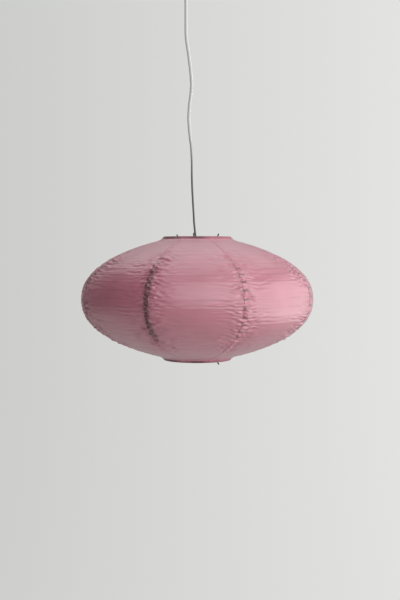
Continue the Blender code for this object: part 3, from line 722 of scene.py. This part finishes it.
def ripple(azimuth, radius, height, t):
    """How far the paper stands from its even form: crumples beside the seams, which run level
    at a seam and bend towards the shade's middle away from it, and slack between."""
    aside, seam = from_seam(azimuth, radius)
    between = 4 * t * (1 - t)
    place = Vector((aside, height, seam * SEAM_STEP))
    level = height - EQUATOR_Z
    near = math.exp(-(aside / CRUMPLED_ASIDE) ** 2)
    near /= 1 + math.exp((abs(level) - CRUMPLED_UP) / CRUMPLED_FADE)
    bent = height + math.copysign(CRUMPLES_BEND * aside * aside, level)
    drift = noise.noise(place * (1 / (15 * MM)))
    patch = 0.6 + 1.0 * noise.noise(place * (1 / (13 * MM)) + Vector((3.1, 0, 0)))
    wave = 1 - 2 * abs(math.sin(math.pi * bent / WRINKLE + 2.5 * drift))
    crumple = noise.noise(Vector((aside * 0.4, bent, seam * SEAM_STEP)) * (1 / (3.4 * MM)))
    slack = noise.noise(Vector((azimuth * radius / (30 * MM), height / (60 * MM), 7.0)))
    facets = 1 - 3 * abs(noise.noise(Vector((aside * 0.8, bent * 1.3, seam + 4.0)) * (1 / (6 * MM))))
    form = near * (1.7 * wave * max(patch, 0.1) + 2.2 * crumple + 0.8 * facets)
    form = form * (0.55 + 0.45 * between) + 0.25 * slack
    return form * MM


def along_curve(gap, t):
    """Mid-gore radius and height on the even curve through the hoops, past a hoop by t."""
    last = len(HOOPS) - 1
    start, end = Vector(HOOPS[gap]), Vector(HOOPS[gap + 1])
    before = Vector(HOOPS[gap - 1]) if gap > 1 else start * 2 - end
    after = Vector(HOOPS[gap + 2]) if gap + 2 < last else end * 2 - start
    return curve_point(before, start, end, after, t)


def paper_point(azimuth, gap, t, lift=0.0):
    """A point on the paper's outer face, t of the way down from one hoop to the next. Its folds
    fade out at the rings, and don't sink into a hoop's wire."""
    curve_radius, height = along_curve(gap, t)
    radius = raised(curve_radius, azimuth)
    out = OUTWARD[gap].lerp(OUTWARD[gap + 1], t).normalized()
    length = GAP_LENGTHS[gap]
    off = PAPER_BETWEEN
    for index, away in ((gap, t * length), (gap + 1, (1 - t) * length)):
        off += (crest(index) - PAPER_BETWEEN) * math.exp(-(away / CREST_WIDTH) ** 2)
    ease = min(1.0, gap + t, len(HOOPS) - 1 - gap - t)
    fold = ripple(azimuth, radius, height, t) * ease
    if fold < 0:
        fold *= 1 - at_wire(gap, t, HELD_BY_WIRE)
    off += fold + lift
    return on_azimuth(azimuth, radius + out.x * off, height + out.y * off)


GAP_STEPS = [0.0, 0.06, 0.13, 0.21, 0.29, 0.37, 0.46, 0.54, 0.63, 0.71, 0.79, 0.87, 0.94]
ROWS = [(gap, t) for gap in range(HOOP_COUNT + 1) for t in GAP_STEPS] + [(HOOP_COUNT, 1.0)]


def at_wire(gap, t, width):
    """1 where a hoop lies under the paper, 0 between hoops."""
    away = min(t, 1 - t) * GAP_LENGTHS[gap]
    return math.exp(-(away / width) ** 2)


def wire_shadow_and_glue(azimuth, gap, t):
    """How dark a hoop is drawn through the paper: painted shadow of its wire, with glue, darker
    where the glue is thick, along each hoop.
    """
    hoop = gap if t < 0.5 else gap + 1
    thick = noise.noise(Vector((azimuth * HOOPS[hoop][0] / (55 * MM), hoop * 3.3, 2.0)))
    return at_wire(gap, t, 1.1 * MM) * min(max(0.3 + 1.7 * thick, 0.0), 1.0)


def seam_glue_and_shade(seam, gap, t):
    """How dark a seam is drawn: solid through the middle of the front left one, as painted shade for
    the double paper there facing away from the light; glue in patches on the others, and in dashes
    over the hoops."""
    height = along_curve(gap, t)[1]
    level = height - EQUATOR_Z
    middle_part = 1 / (1 + math.exp((abs(level) - 58 * MM) / (4 * MM)))
    nearly = 1 / (1 + math.exp((abs(level) - 90 * MM) / (5 * MM)))
    dashes = at_wire(gap, t, 1.9 * MM)
    if seam == 0:
        return max(middle_part, 0.75 * dashes * nearly)
    patches = 1.3 * noise.noise(Vector((seam * 3.7, height / (15 * MM), 1.0)))
    return middle_part * min(max(patches, 0.95 * dashes, 0.0), 1.0)


def make_gores():
    columns = 36
    width = 2 * math.pi / GORE_COUNT
    edge = 0.25 * MM / FULL_RADIUS
    pieces = []
    for number in range(GORE_COUNT):
        first = FIRST_SEAM + number * width
        face, wire, glued = [], [], []
        for column in range(columns + 1):
            u = column / columns
            share = u - 0.7 / (2 * math.pi) * math.sin(2 * math.pi * u)
            azimuth = first + edge + share * (width - 2 * edge)
            face.append([paper_point(azimuth, gap, t) for gap, t in ROWS])
            wire.append([wire_shadow_and_glue(azimuth, gap, t) for gap, t in ROWS])
            seam = number if share < 0.5 else (number + 1) % GORE_COUNT
            reach = min(share, 1 - share) * width / (6 * MM)
            glued.append([math.exp(-(reach * along_curve(gap, t)[0]) ** 2)
                          * seam_glue_and_shade(seam, gap, t) for gap, t in ROWS])
        name = f"gore_skin_{number + 1}"
        mesh = sheet_mesh(name, face, PAPER, {"wire_shadow_and_glue": wire, "glued": glued})
        piece = finish_piece(name, mesh, "gore", "suspension",
                             [f"paper_gore_{number + 1}"], smooth=None)
        pieces.append((piece, flat_size(face)))
    return pieces


def flat_size(face):
    """A sheet's greatest width, its length down the middling column, and its area."""
    face = np.asarray(face, float)
    across = np.linalg.norm(np.diff(face, axis=0), axis=2)
    along = np.linalg.norm(np.diff(face, axis=1), axis=2)
    one = np.cross(face[1:, :-1] - face[:-1, :-1], face[:-1, 1:] - face[:-1, :-1])
    two = np.cross(face[1:, :-1] - face[1:, 1:], face[:-1, 1:] - face[1:, 1:])
    area = (np.linalg.norm(one, axis=2).sum() + np.linalg.norm(two, axis=2).sum()) / 2
    return across.sum(axis=0).max(), float(np.median(along.sum(axis=1))), area


def make_laps():
    """The overlap glued down each seam: two layers of paper, a little crumpled."""
    columns = 8
    pieces = []
    for number in range(GORE_COUNT):
        seam_azimuth = FIRST_SEAM + number * 2 * math.pi / GORE_COUNT
        face, wire, glued = [], [], []
        for column in range(columns + 1):
            share = column / columns
            line = []
            for gap, t in ROWS:
                radius, height = along_curve(gap, t)
                side = 0.0 if share < 0.5 else 9.0
                torn = noise.noise(Vector((side, height / (5 * MM), number * 5)))
                aside = (share - 0.55) * LAP_WIDTH + 1.6 * MM * torn * abs(2 * share - 1)
                lift = PAPER + (0.03 + 0.06 * math.sin(math.pi * share)) * MM
                line.append(paper_point(seam_azimuth + aside / radius, gap, t, lift))
            face.append(line)
            wire.append([wire_shadow_and_glue(seam_azimuth, gap, t) for gap, t in ROWS])
            glued.append([seam_glue_and_shade(number, gap, t) for gap, t in ROWS])
        name = f"seam_lap_{number + 1}"
        mesh = sheet_mesh(name, face, PAPER, {"wire_shadow_and_glue": wire, "glued": glued})
        pieces.append(finish_piece(name, mesh, "lap", "suspension", smooth=None))
    return pieces


def rim_glue_and_shade(azimuth):
    """How dark a ring's fold is drawn: a little glue all round, and painted shade, darkest at the
    left, away from the light, and a little at the front.
    """
    degrees = math.degrees(azimuth)
    degrees -= 360 * round(degrees / 360)
    left = math.exp(-((degrees + 54) / 20) ** 2)
    front = 0.75 * math.exp(-((degrees - 1) / 15) ** 2)
    return min(0.15 + 1.2 * left + 1.2 * front, 1.0)


def make_rims():
    """The paper's ends, folded over each ring and glued down inside and out."""
    sides = 144
    reach = RING_WIRE / 2 + 0.45 * MM
    pieces = []
    for name, height, sign, body in (("rim_fold_top", TOP_RING_Z, 1, "suspension"),
                                     ("rim_fold_bottom", BOTTOM_RING_Z, -1, "bottom_rim")):
        outline = [(RIM_OUTSIDE * (1 - step / 4), 0.0) for step in range(5)]
        outline += [(0.0, math.pi * step / 8) for step in range(1, 8)]
        outline += [(RIM_INSIDE * step / 4, math.pi) for step in range(5)]
        face, wire, glued = [], [], []
        for side in range(sides):
            azimuth = 2 * math.pi * side / sides
            line = []
            for down, angle in outline:
                if angle == 0.0:
                    gap = 0 if sign > 0 else HOOP_COUNT
                    t = down / GAP_LENGTHS[gap]
                    point = paper_point(azimuth, gap, t if sign > 0 else 1 - t, 0.34 * MM)
                else:
                    crinkle = noise.noise(Vector((azimuth * 12, down / (3 * MM), sign)))
                    radius = RING_RADIUS + reach * math.cos(angle) + 0.12 * MM * crinkle
                    rise = reach * math.sin(angle) - down
                    point = on_azimuth(azimuth, radius, height + sign * rise)
                line.append(point)
            face.append(line)
            # Painted shadow of the ring wire under the folded paper.
            wire.append([math.exp(-(down / (1.5 * MM)) ** 2) for down, _ in outline])
            # Glue round the ring, with painted shade at its left and front.
            glued.append([rim_glue_and_shade(azimuth)] * len(outline))
        mesh = sheet_mesh(name, face, PAPER, {"wire_shadow_and_glue": wire, "glued": glued}, wraps=True)
        piece = finish_piece(name, mesh, "rim", body, smooth=None)
        pieces.append((piece, flat_size(face + face[:1])))
    return pieces


def make_shade():
    """The paper: gores, laps and rim folds, made open; on the real lantern it folds up with the
    hoops. Each gore is a sheet held on them by glue.
    """
    gores = make_gores()
    laps = make_laps()
    rims = make_rims()
    for piece in [gore for gore, _ in gores] + laps:
        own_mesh(piece)


def make_wires():
    """Hoops and rings, each one closed round of wire."""
    steps = 144
    for number, (radius, height) in enumerate(HOOPS[1:-1], start=1):
        node = f"hoop_{number:02d}"
        points = [on_azimuth(azimuth, raised(radius, azimuth), height)
                  for azimuth in (2 * math.pi * step / steps for step in range(steps))]
        mesh = swept_mesh(node + "_wire", points, circle(HOOP_WIRE / 2, 8), cyclic=True)
        finish_piece(node + "_wire", mesh, "tie", node, [node], smooth=None)
    for node, height, body in (("top_ring", TOP_RING_Z, "suspension"),
                               ("bottom_ring", BOTTOM_RING_Z, "bottom_rim")):
        points = [on_azimuth(2 * math.pi * step / steps, RING_RADIUS, height)
                  for step in range(steps)]
        mesh = swept_mesh(node + "_wire", points, circle(RING_WIRE / 2, 12), cyclic=True)
        finish_piece(node + "_wire", mesh, "spring", body, [node], smooth=None)


# ---------------------------------------------------------------- expander
UPPER_EYE_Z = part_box("expander_nut")[0].z - GAP - EXPANDER_WIRE / 2
LOWER_EYE_Z = UPPER_EYE_Z - EXPANDER_WIRE - GAP


def eye_turn(azimuth, height, start, end):
    """Points round the nipple, from start to end degrees on from an azimuth."""
    steps = 10
    return [on_azimuth(azimuth + math.radians(start + (end - start) * step / steps),
                       EYE_RADIUS, height) for step in range(steps + 1)]


def arm_route(azimuth, eye_height):
    """From the eye out and up to the hook, whose tip leans out over the top ring."""
    inside = RING_RADIUS - HOOK_REACH
    return [
        on_azimuth(azimuth - math.radians(25), 0.0120, eye_height),
        on_azimuth(azimuth - math.radians(3), 0.0210, eye_height + 0.0040),
        on_azimuth(azimuth, 0.0350, TOP_RING_Z - 0.0210),
        on_azimuth(azimuth, LEG_SHOULDER, TOP_RING_Z - LEG_SHOULDER_DROP),
        on_azimuth(azimuth, inside - 0.0002, TOP_RING_Z - 0.0030),
        on_azimuth(azimuth, inside, TOP_RING_Z),
        on_azimuth(azimuth, inside + 0.0010, TOP_RING_Z + 0.0032),
        on_azimuth(azimuth, inside + 0.0028, TOP_RING_Z + HOOK_TIP),
    ]


def leg_route(azimuth):
    """From the shoulder down inside the bottom ring, and out under it."""
    inside = RING_RADIUS - HOOK_REACH
    top = TOP_RING_Z - LEG_SHOULDER_DROP - EXPANDER_WIRE - 2 * GAP
    return [
        on_azimuth(azimuth, LEG_SHOULDER, top - 0.8 * MM),
        on_azimuth(azimuth, LEG_SHOULDER + 0.0010, top - 0.0120),
        on_azimuth(azimuth, LEG_SHOULDER + 0.0022, EQUATOR_Z + 0.0200),
        on_azimuth(azimuth, inside - 0.0006, BOTTOM_RING_Z + 0.0350),
        on_azimuth(azimuth, inside, BOTTOM_RING_Z + 0.0050),
        on_azimuth(azimuth, inside, BOTTOM_RING_Z),
        on_azimuth(azimuth, inside + 0.0013, BOTTOM_RING_Z - 0.0030),
        on_azimuth(azimuth, inside + 0.0035, BOTTOM_RING_Z - FOOT_TIP),
    ]


def make_expander():
    left = EXPANDER_AZIMUTH + math.pi
    keeper_x, keeper_y = KEEPER_PLACE
    keeper_azimuth = math.atan2(keeper_x, -keeper_y)
    keeper = [
        Vector((AXIS_X + keeper_x, keeper_y, TOP_RING_Z + KEEPER_TIP)),
        Vector((AXIS_X + keeper_x, keeper_y, TOP_RING_Z - 0.0120)),
        Vector((AXIS_X + keeper_x * 1.05, keeper_y * 1.05, UPPER_EYE_Z + 0.0050)),
        on_azimuth(keeper_azimuth + math.radians(8), 0.0110, UPPER_EYE_Z + 0.0006),
    ]
    routes = {
        "left": keeper + eye_turn(left, UPPER_EYE_Z, -310, -55) + arm_route(left, UPPER_EYE_Z),
        "right": eye_turn(EXPANDER_AZIMUTH, LOWER_EYE_Z, -330, -55)
        + arm_route(EXPANDER_AZIMUTH, LOWER_EYE_Z),
    }
    section = circle(EXPANDER_WIRE / 2, 14)
    for side, azimuth in (("left", left), ("right", EXPANDER_AZIMUTH)):
        mesh = swept_mesh(f"arm_{side}", rounded(routes[side], 6), section)
        finish_piece(f"expander_arm_{side}_wire", mesh, "spring", "suspension",
                     [f"expander_arm_{side}"], smooth=60.0)
        mesh = swept_mesh(f"leg_{side}", rounded(leg_route(azimuth), 8), section)
        finish_piece(f"expander_leg_{side}_wire", mesh, "spring", f"leg_{side}",
                     [f"expander_leg_{side}"], smooth=60.0)


# ---------------------------------------------------------------- lampholder and bulb
THREAD_PITCH = 3.6 * MM      # E27
THREAD_DEPTH = 0.45 * MM
HOOK_LOW_Z = -20.5 * MM      # the lowest point that the ceiling hook's wire runs through


def on_axis(node, x=None):
    """The piece's height range, its outer radius and the centre line it turns about."""
    low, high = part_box(node)
    return low.z, high.z, (high.x - low.x) / 2, Vector((AXIS_X if x is None else x, 0, 0))


def make_lampholder():
    low, high, radius, centre = on_axis("lampholder_grip")
    nipple = 4.8 * MM
    grip_low = high - 8.0 * MM
    outline = softened([(0, high), (radius * 0.75, high), (radius, high - 2 * MM),
                        (radius, grip_low), (nipple, grip_low), (nipple, low), (0, low)], 0.5 * MM)

    def fluted(reach, height, angle):
        if reach > nipple + 0.6 * MM and height < high - 1.5 * MM:
            return reach - 0.45 * MM * max(0.0, math.cos(8 * angle)) ** 3
        return reach

    mesh = turned_mesh("lampholder_grip_fluted", outline, centre, 96, fluted)
    finish_piece("lampholder_grip_fluted", mesh, "plastic", "suspension",
                 ["lampholder_grip"])

    low, high, radius, centre = on_axis("expander_nut")
    bore = nipple + GAP
    outline = softened([(bore, high), (radius, high), (radius, low), (bore, low)], 0.5 * MM)

    def knurled(reach, height, angle):
        return reach - 0.35 * MM * (0.5 + 0.5 * math.cos(24 * angle)) if reach > 8 * MM else reach

    mesh = turned_mesh("expander_nut_knurled", outline, centre, 144, knurled)
    finish_piece("expander_nut_knurled", mesh, "plastic", "suspension",
                 ["expander_nut"])

    low, high, radius, centre = on_axis("lampholder_cap")
    wall = 2.0 * MM
    straight = 8.0 * MM
    outer, inner = [], []
    for step in range(13):
        turn = math.radians(90 * step / 12)
        flat = radius * 0.5
        rise = (high - low - straight) * math.cos(turn)
        outer.append((flat + (radius - flat) * math.sin(turn), low + straight + rise))
        inner.append((outer[-1][0] - wall * (0.3 + 0.7 * math.sin(turn)),
                      low + straight + rise - wall * math.cos(turn)))
    grooves = []
    for level in (6.0, 4.4, 2.8):
        for down, depth in ((0.35, 0.0), (0.12, 0.3), (-0.12, 0.3), (-0.35, 0.0)):
            grooves.append((radius - depth * MM, low + (level + down) * MM))
    outline = [(bore, high)] + outer + grooves + [(radius, low + 0.4 * MM), (radius - 0.4 * MM, low),
              (radius - wall, low)] + list(reversed(inner)) + [(bore, high - wall)]
    mesh = turned_mesh("lampholder_cap_dome", outline, centre, 96)
    finish_piece("lampholder_cap_dome", mesh, "plastic", "suspension",
                 ["lampholder_cap"])

    low, high, radius, centre = on_axis("lampholder_skirt")
    bore_skirt = radius - wall
    levels = [high - 1.6 * MM - step * 1.0 * MM for step in range(30)]
    outline = [(radius - 0.4 * MM, high), (radius, high - 0.4 * MM)]
    outline += [(radius, level) for level in levels]
    outline += [(radius - 0.6 * MM, low + 0.4 * MM), (radius - 1.0 * MM, low), (bore_skirt, low),
                (bore_skirt, high)]

    def ribbed(reach, height, angle):
        inset = min(high - 3 * MM - height, height - low - 6 * MM)
        if reach < radius - 0.1 * MM or inset < 0:
            return reach
        ease = min(inset / (1.5 * MM), 1.0)
        return reach - 0.35 * MM * ease * (0.5 + 0.5 * math.cos(36 * angle))

    mesh = turned_mesh("lampholder_skirt_ribbed", outline, centre, 216, ribbed)
    finish_piece("lampholder_skirt_ribbed", mesh, "plastic", "suspension",
                 ["lampholder_skirt"])

    low, high, radius, centre = on_axis("lampholder_insert")
    outline = softened([(0, high - 1.2 * MM), (radius * 0.35, high - 1.2 * MM),
                        (radius * 0.42, high), (radius, high), (radius, low),
                        (radius * 0.86, low), (radius * 0.82, low + 0.4 * MM),
                        (radius * 0.36, low + 0.4 * MM), (radius * 0.32, low), (0, low)], 0.5 * MM)
    mesh = turned_mesh("lampholder_insert_glazed", outline, centre)
    finish_piece("lampholder_insert_glazed", mesh, "ceramic", "suspension",
                 ["lampholder_insert"])

    low, high, radius, centre = on_axis("screw_shell")
    thick = 0.4 * MM
    rows = 80
    outer = [(radius, high + (low - high) * step / rows) for step in range(rows + 1)]
    inner = [(reach - thick, height) for reach, height in reversed(outer)]
    bore_limit = radius - thick

    def shell_thread(reach, height, angle):
        bulge = 0.35 * MM * (0.5 + 0.5 * math.cos(2 * math.pi * height / THREAD_PITCH + angle))
        ends = min(1.0, (high - height) / (2 * MM), (height - low) / (2 * MM))
        grown = reach + bulge * max(ends, 0.0)
        return max(grown, bore_limit) if reach < radius - thick / 2 else grown

    mesh = turned_mesh("screw_shell_threaded", outer + inner, centre, 72, shell_thread)
    finish_piece("screw_shell_threaded", mesh, "brass", "suspension", ["screw_shell"])

    low, high, radius, centre = on_axis("centre_contact")
    outline = softened([(0, high), (radius, high), (radius * 0.9, low + 0.5 * MM),
                        (radius * 0.5, low), (0, low)], 0.4 * MM)
    mesh = turned_mesh("centre_contact_domed", outline, centre, 48)
    finish_piece("centre_contact_domed", mesh, "brass", "suspension",
                 ["centre_contact"])


def make_bulb():
    low, high, radius, centre = on_axis("bulb_contact")
    outline = softened([(0, high), (radius * 0.6, high), (radius, low + 0.8 * MM),
                        (radius, low), (0, low)], 0.4 * MM)
    mesh = turned_mesh("bulb_contact_solder", outline, centre, 48)
    finish_piece("bulb_contact_solder", mesh, "brass", "bulb", ["bulb_contact"])

    low, high, radius, centre = on_axis("bulb_cap")
    shoulder = high - 4 * MM
    tip = 5.6 * MM
    rows = 66
    wall = 0.6 * MM
    outer = [(0, high), (tip, high), (radius - 1.2 * MM, shoulder + 1.4 * MM), (radius, shoulder)]
    outer += [(radius, shoulder + (low - shoulder) * step / rows) for step in range(1, rows + 1)]
    inner = [(radius - wall - THREAD_DEPTH, low), (radius - wall - THREAD_DEPTH, shoulder),
             (tip - 0.4 * MM, high - wall), (0, high - wall)]

    def cap_thread(reach, height, angle):
        if reach < radius - 0.01 * MM or height > shoulder:
            return reach
        ease = max(0.0, min(1.0, (shoulder - height) / (2 * MM), (height - low) / (2 * MM)))
        return reach - THREAD_DEPTH * ease * (
            0.5 - 0.5 * math.cos(2 * math.pi * height / THREAD_PITCH + angle))

    mesh = turned_mesh("bulb_cap_threaded", outer + inner, centre, 72, cap_thread)
    finish_piece("bulb_cap_threaded", mesh, "nickel", "bulb", ["bulb_cap"])

    low, high, radius, centre = on_axis("bulb_housing")
    neck = half_width("bulb_cap")
    outer = [(0, high), (neck, high), (neck + 0.4 * MM, high - 0.6 * MM),
             (neck + 1.2 * MM, high - 4 * MM)]
    steps = 10
    for step in range(1, steps + 1):
        t = step / steps
        flare = t ** 1.4
        outer.append((neck + 1.2 * MM + (radius - neck - 1.2 * MM) * flare,
                      high - 4 * MM + (low - high + 4 * MM) * t))
    mesh = turned_mesh("bulb_housing_flared", outer + [(0, low)], centre, 96)
    finish_piece("bulb_housing_flared", mesh, "plastic", "bulb",
                 ["bulb_housing"])

    low, high, radius, centre = on_axis("bulb_globe")
    collar = half_width("bulb_housing") - 0.5 * MM
    opening = math.asin(collar / radius)
    middle_z = low + radius
    wall = 1.5 * MM
    steps = 30
    outer, inner = [], []
    for step in range(steps):
        turn = opening + (math.pi - opening) * step / steps
        outer.append((radius * math.sin(turn), middle_z + radius * math.cos(turn)))
        inner.append(((radius - wall) * math.sin(turn), middle_z + (radius - wall) * math.cos(turn)))
    outer[0] = (outer[0][0], high)
    inner[0] = (inner[0][0], high)
    outline = [(0, low + wall)] + list(reversed(inner)) + outer + [(0, low)]
    mesh = turned_mesh("bulb_globe_opal", outline, centre, 96)
    finish_piece("bulb_globe_opal", mesh, "opal", "bulb", ["bulb_globe"])


# ---------------------------------------------------------------- ceiling fitting
def make_ceiling_fitting():
    low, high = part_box("ceiling_bracket")
    half_length, half_depth = (high.x - low.x) / 2, (high.y - low.y) / 2
    outline = []
    steps = 16
    for side in (1, -1):
        for step in range(steps + 1):
            angle = -math.pi / 2 + math.pi * step / steps
            outline.append((side * (half_length - half_depth + half_depth * math.cos(angle)),
                            side * half_depth * math.sin(angle)))
    mesh = plate_mesh("bracket", outline, low.z, high.z, (0, 0, 0), 0.3 * MM)
    holes = [Vector((side * 27 * MM, 0, (low.z + high.z) / 2)) for side in (-1, 1)]
    mesh = drilled(mesh, 2.3 * MM, 6 * MM, holes)
    finish_piece("ceiling_bracket_plate", mesh, "zinc", "suspension",
                 ["ceiling_bracket"])

    bend = 6.0 * MM
    wire = 3.0 * MM
    bend_z = HOOK_LOW_Z + bend
    top = low.z - GAP
    route = [Vector((bend, 0, top)), Vector((bend, 0, (bend_z + top) / 2))]
    for step in range(25):
        turn = math.radians(200 * step / 24)
        route.append(Vector((bend * math.cos(turn), 0, bend_z - bend * math.sin(turn))))
    mesh = swept_mesh("hook", route, circle(wire / 2, 16), ends="flat")
    finish_piece("ceiling_hook_wire", mesh, "zinc", "suspension", ["ceiling_hook"],
                 smooth=60.0)

    low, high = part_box("cord_anchor")
    tab = 2.0 * MM
    half = (high.x - low.x) / 2
    body_top = low.z + 10 * MM
    profile = [(-half, low.z), (half, low.z), (half, body_top), (tab, body_top), (tab, high.z),
               (-tab, high.z), (-tab, body_top), (-half, body_top)]
    mesh = plate_mesh("anchor", profile, low.y, high.y, (0, 0, 0), 0.5 * MM, plane="XZ")
    mesh = drilled(mesh, 2.4 * MM, 12 * MM, [Vector((0, 0, HOOK_LOW_Z))], "X")
    finish_piece("cord_anchor_clamp", mesh, "plastic", "suspension",
                 ["cord_anchor"])

    low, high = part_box("terminal_block")
    centre = (low + high) / 2
    outline = [(low.x, low.y), (high.x, low.y), (high.x, high.y), (low.x, high.y)]
    mesh = plate_mesh("block", outline, low.z, high.z, (0, 0, 0), 0.8 * MM)
    screws = [centre + Vector((side * 4 * MM, 0, (high.z - low.z) / 2)) for side in (-1, 1)]
    mesh = drilled(mesh, 2.2 * MM, 6 * MM, screws)
    finish_piece("terminal_block_body", mesh, "plastic", "suspension",
                 ["terminal_block"])

    low_z, high_z, radius, centre = on_axis("ceiling_cup", 0.0)
    foot = 13.0 * MM
    wall = 2.0 * MM
    hole = 5.3 * MM
    outer = [(radius, high_z), (radius, -6 * MM), (radius - 3 * MM, -24 * MM),
             (radius - 10 * MM, -40 * MM), (foot + 8 * MM, low_z + 4 * MM), (foot, low_z)]
    inner = [(foot - 1 * MM, low_z + wall), (foot + 6.5 * MM, low_z + 4 * MM + wall),
             (radius - 10 * MM - wall, -40 * MM + wall / 2), (radius - 3 * MM - wall, -24 * MM),
             (radius - wall, -6 * MM), (radius - wall, high_z)]
    outline = softened(outer + [(hole, low_z), (hole, low_z + wall)] + inner, 3.5 * MM, 5)
    mesh = turned_mesh("ceiling_cup", outline, centre, 120)
    finish_piece("ceiling_cup_shell", mesh, "plastic", "ceiling_cup",
                 ["ceiling_cup"])

    low_z, high_z, radius, centre = on_axis("cord_lock", 0.0)
    bore = CORD_WIDTH / 2 + GAP
    stem = 5.0 * MM
    shoulder = low_z + 10 * MM
    outline = softened([(bore, high_z), (stem, high_z), (stem, shoulder), (radius, shoulder),
                        (radius, low_z + 2 * MM), (radius - 1.5 * MM, low_z), (bore, low_z)],
                       0.5 * MM)
    mesh = turned_mesh("cord_lock", outline, centre, 72)
    screw = middle("lock_screw")
    mesh = drilled(mesh, 1.8 * MM, 8 * MM, [Vector((radius, 0, screw.z))], "X")
    finish_piece("cord_lock_body", mesh, "plastic", "ceiling_cup", ["cord_lock"])

    low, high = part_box("lock_screw")
    reach = (high.x - low.x) / 2
    screw_radius = (high.z - low.z) / 2
    outline = [(0, -reach), (screw_radius * 0.7, -reach), (screw_radius, -reach + 0.4 * MM),
               (screw_radius, reach - 0.3 * MM), (screw_radius * 0.8, reach),
               (screw_radius * 0.45, reach), (screw_radius * 0.4, reach - 0.6 * MM),
               (0, reach - 0.6 * MM)]
    mesh = turned_mesh("lock_screw", outline, screw, 24, along="X")
    finish_piece("lock_screw_slotted", mesh, "zinc", "ceiling_cup", ["lock_screw"])


# ---------------------------------------------------------------- surroundings
def make_surroundings():
    """A pale paper sweep, soft daylight from the right, and a little light from all round. The sweep
    glows, lighter towards the right: painted light where the daylight falls on it.
    """
    scene = bpy.context.scene
    scene.view_settings.view_transform = "Standard"
    floor_z, wall_y, bend = -2.2, 3.6, 1.5
    half = 5.0
    line = [(-4.0, floor_z), (wall_y - bend, floor_z)]
    for step in range(1, 17):
        turn = math.pi / 2 * step / 16
        line.append((wall_y - bend + bend * math.sin(turn), floor_z + bend - bend * math.cos(turn)))
    line.append((wall_y, 2.5))
    mesh = bpy.data.meshes.new("sweep")
    points = [(x, y, z) for x in (-half, half) for y, z in line]
    count = len(line)
    mesh.from_pydata(points, [], [(i, i + 1, count + i + 1, count + i) for i in range(count - 1)])
    mesh.shade_smooth()
    sweep = bpy.data.objects.new("sweep", mesh)
    scene.collection.objects.link(sweep)
    mat, tree, output, place = start_material("sweep_painted_light")
    split = add_node(tree, "ShaderNodeSeparateXYZ", inputs={0: place})
    across = add_node(tree, "ShaderNodeMapRange", inputs={
        "Value": split.outputs["X"], "From Min": -1.0, "From Max": 1.1})
    # Painted light: the sweep glows, lighter towards the right where the daylight falls.
    tone = add_node(tree, "ShaderNodeMix", {"data_type": "RGBA"}, {
        0: across.outputs["Result"], 6: linear("#CDCECB"), 7: linear("#E3E3E1")})
    seen = add_node(tree, "ShaderNodeEmission", inputs={"Color": tone.outputs[2], "Strength": 1.0})
    cast = add_node(tree, "ShaderNodeEmission", inputs={"Color": tone.outputs[2], "Strength": 0.72})
    ray = add_node(tree, "ShaderNodeLightPath")
    wall = add_node(tree, "ShaderNodeMixShader", inputs={
        0: ray.outputs["Is Camera Ray"], 1: cast.outputs[0], 2: seen.outputs[0]})
    tree.links.new(wall.outputs[0], output.inputs["Surface"])
    mesh.materials.append(mat)

    target = Vector((AXIS_X, 0, EQUATOR_Z))
    for name, azimuth, elevation, distance, size, power in (
            ("room", 20.0, 27.0, 2.8, 4.0, 72.0),
            ("window", 88.0, 2.0, 2.2, 3.6, 62.0),
            ("skylight", 180.0, 70.0, 2.5, 3.0, 28.0)):
        data = bpy.data.lights.new(name, "AREA")
        data.shape = "SQUARE"
        data.size = size
        data.energy = power
        light = bpy.data.objects.new(name, data)
        flat = distance * math.cos(math.radians(elevation))
        turn = math.radians(azimuth)
        light.location = target + Vector((flat * math.sin(turn), -flat * math.cos(turn),
                                          distance * math.sin(math.radians(elevation))))
        light.rotation_euler = (light.location - target).to_track_quat("Z", "Y").to_euler()
        light.visible_camera = False
        scene.collection.objects.link(light)

    world = bpy.data.worlds.new("room")
    scene.world = world
    world.use_nodes = True
    tree = world.node_tree
    tree.nodes.clear()
    output = add_node(tree, "ShaderNodeOutputWorld")
    ray = add_node(tree, "ShaderNodeLightPath")
    ambient = add_node(tree, "ShaderNodeBackground", inputs={
        "Color": linear("#F0F2F0"), "Strength": 0.10})
    seen = add_node(tree, "ShaderNodeBackground", inputs={
        "Color": linear("#DADAD8"), "Strength": 1.0})
    mixed = add_node(tree, "ShaderNodeMixShader", inputs={
        0: ray.outputs["Is Camera Ray"], 1: ambient.outputs[0], 2: seen.outputs[0]})
    tree.links.new(mixed.outputs[0], output.inputs["Surface"])


make_camera()
make_ceiling_fitting()
make_cord()
make_wires()
make_shade()
make_expander()
make_lampholder()
make_bulb()
make_surroundings()
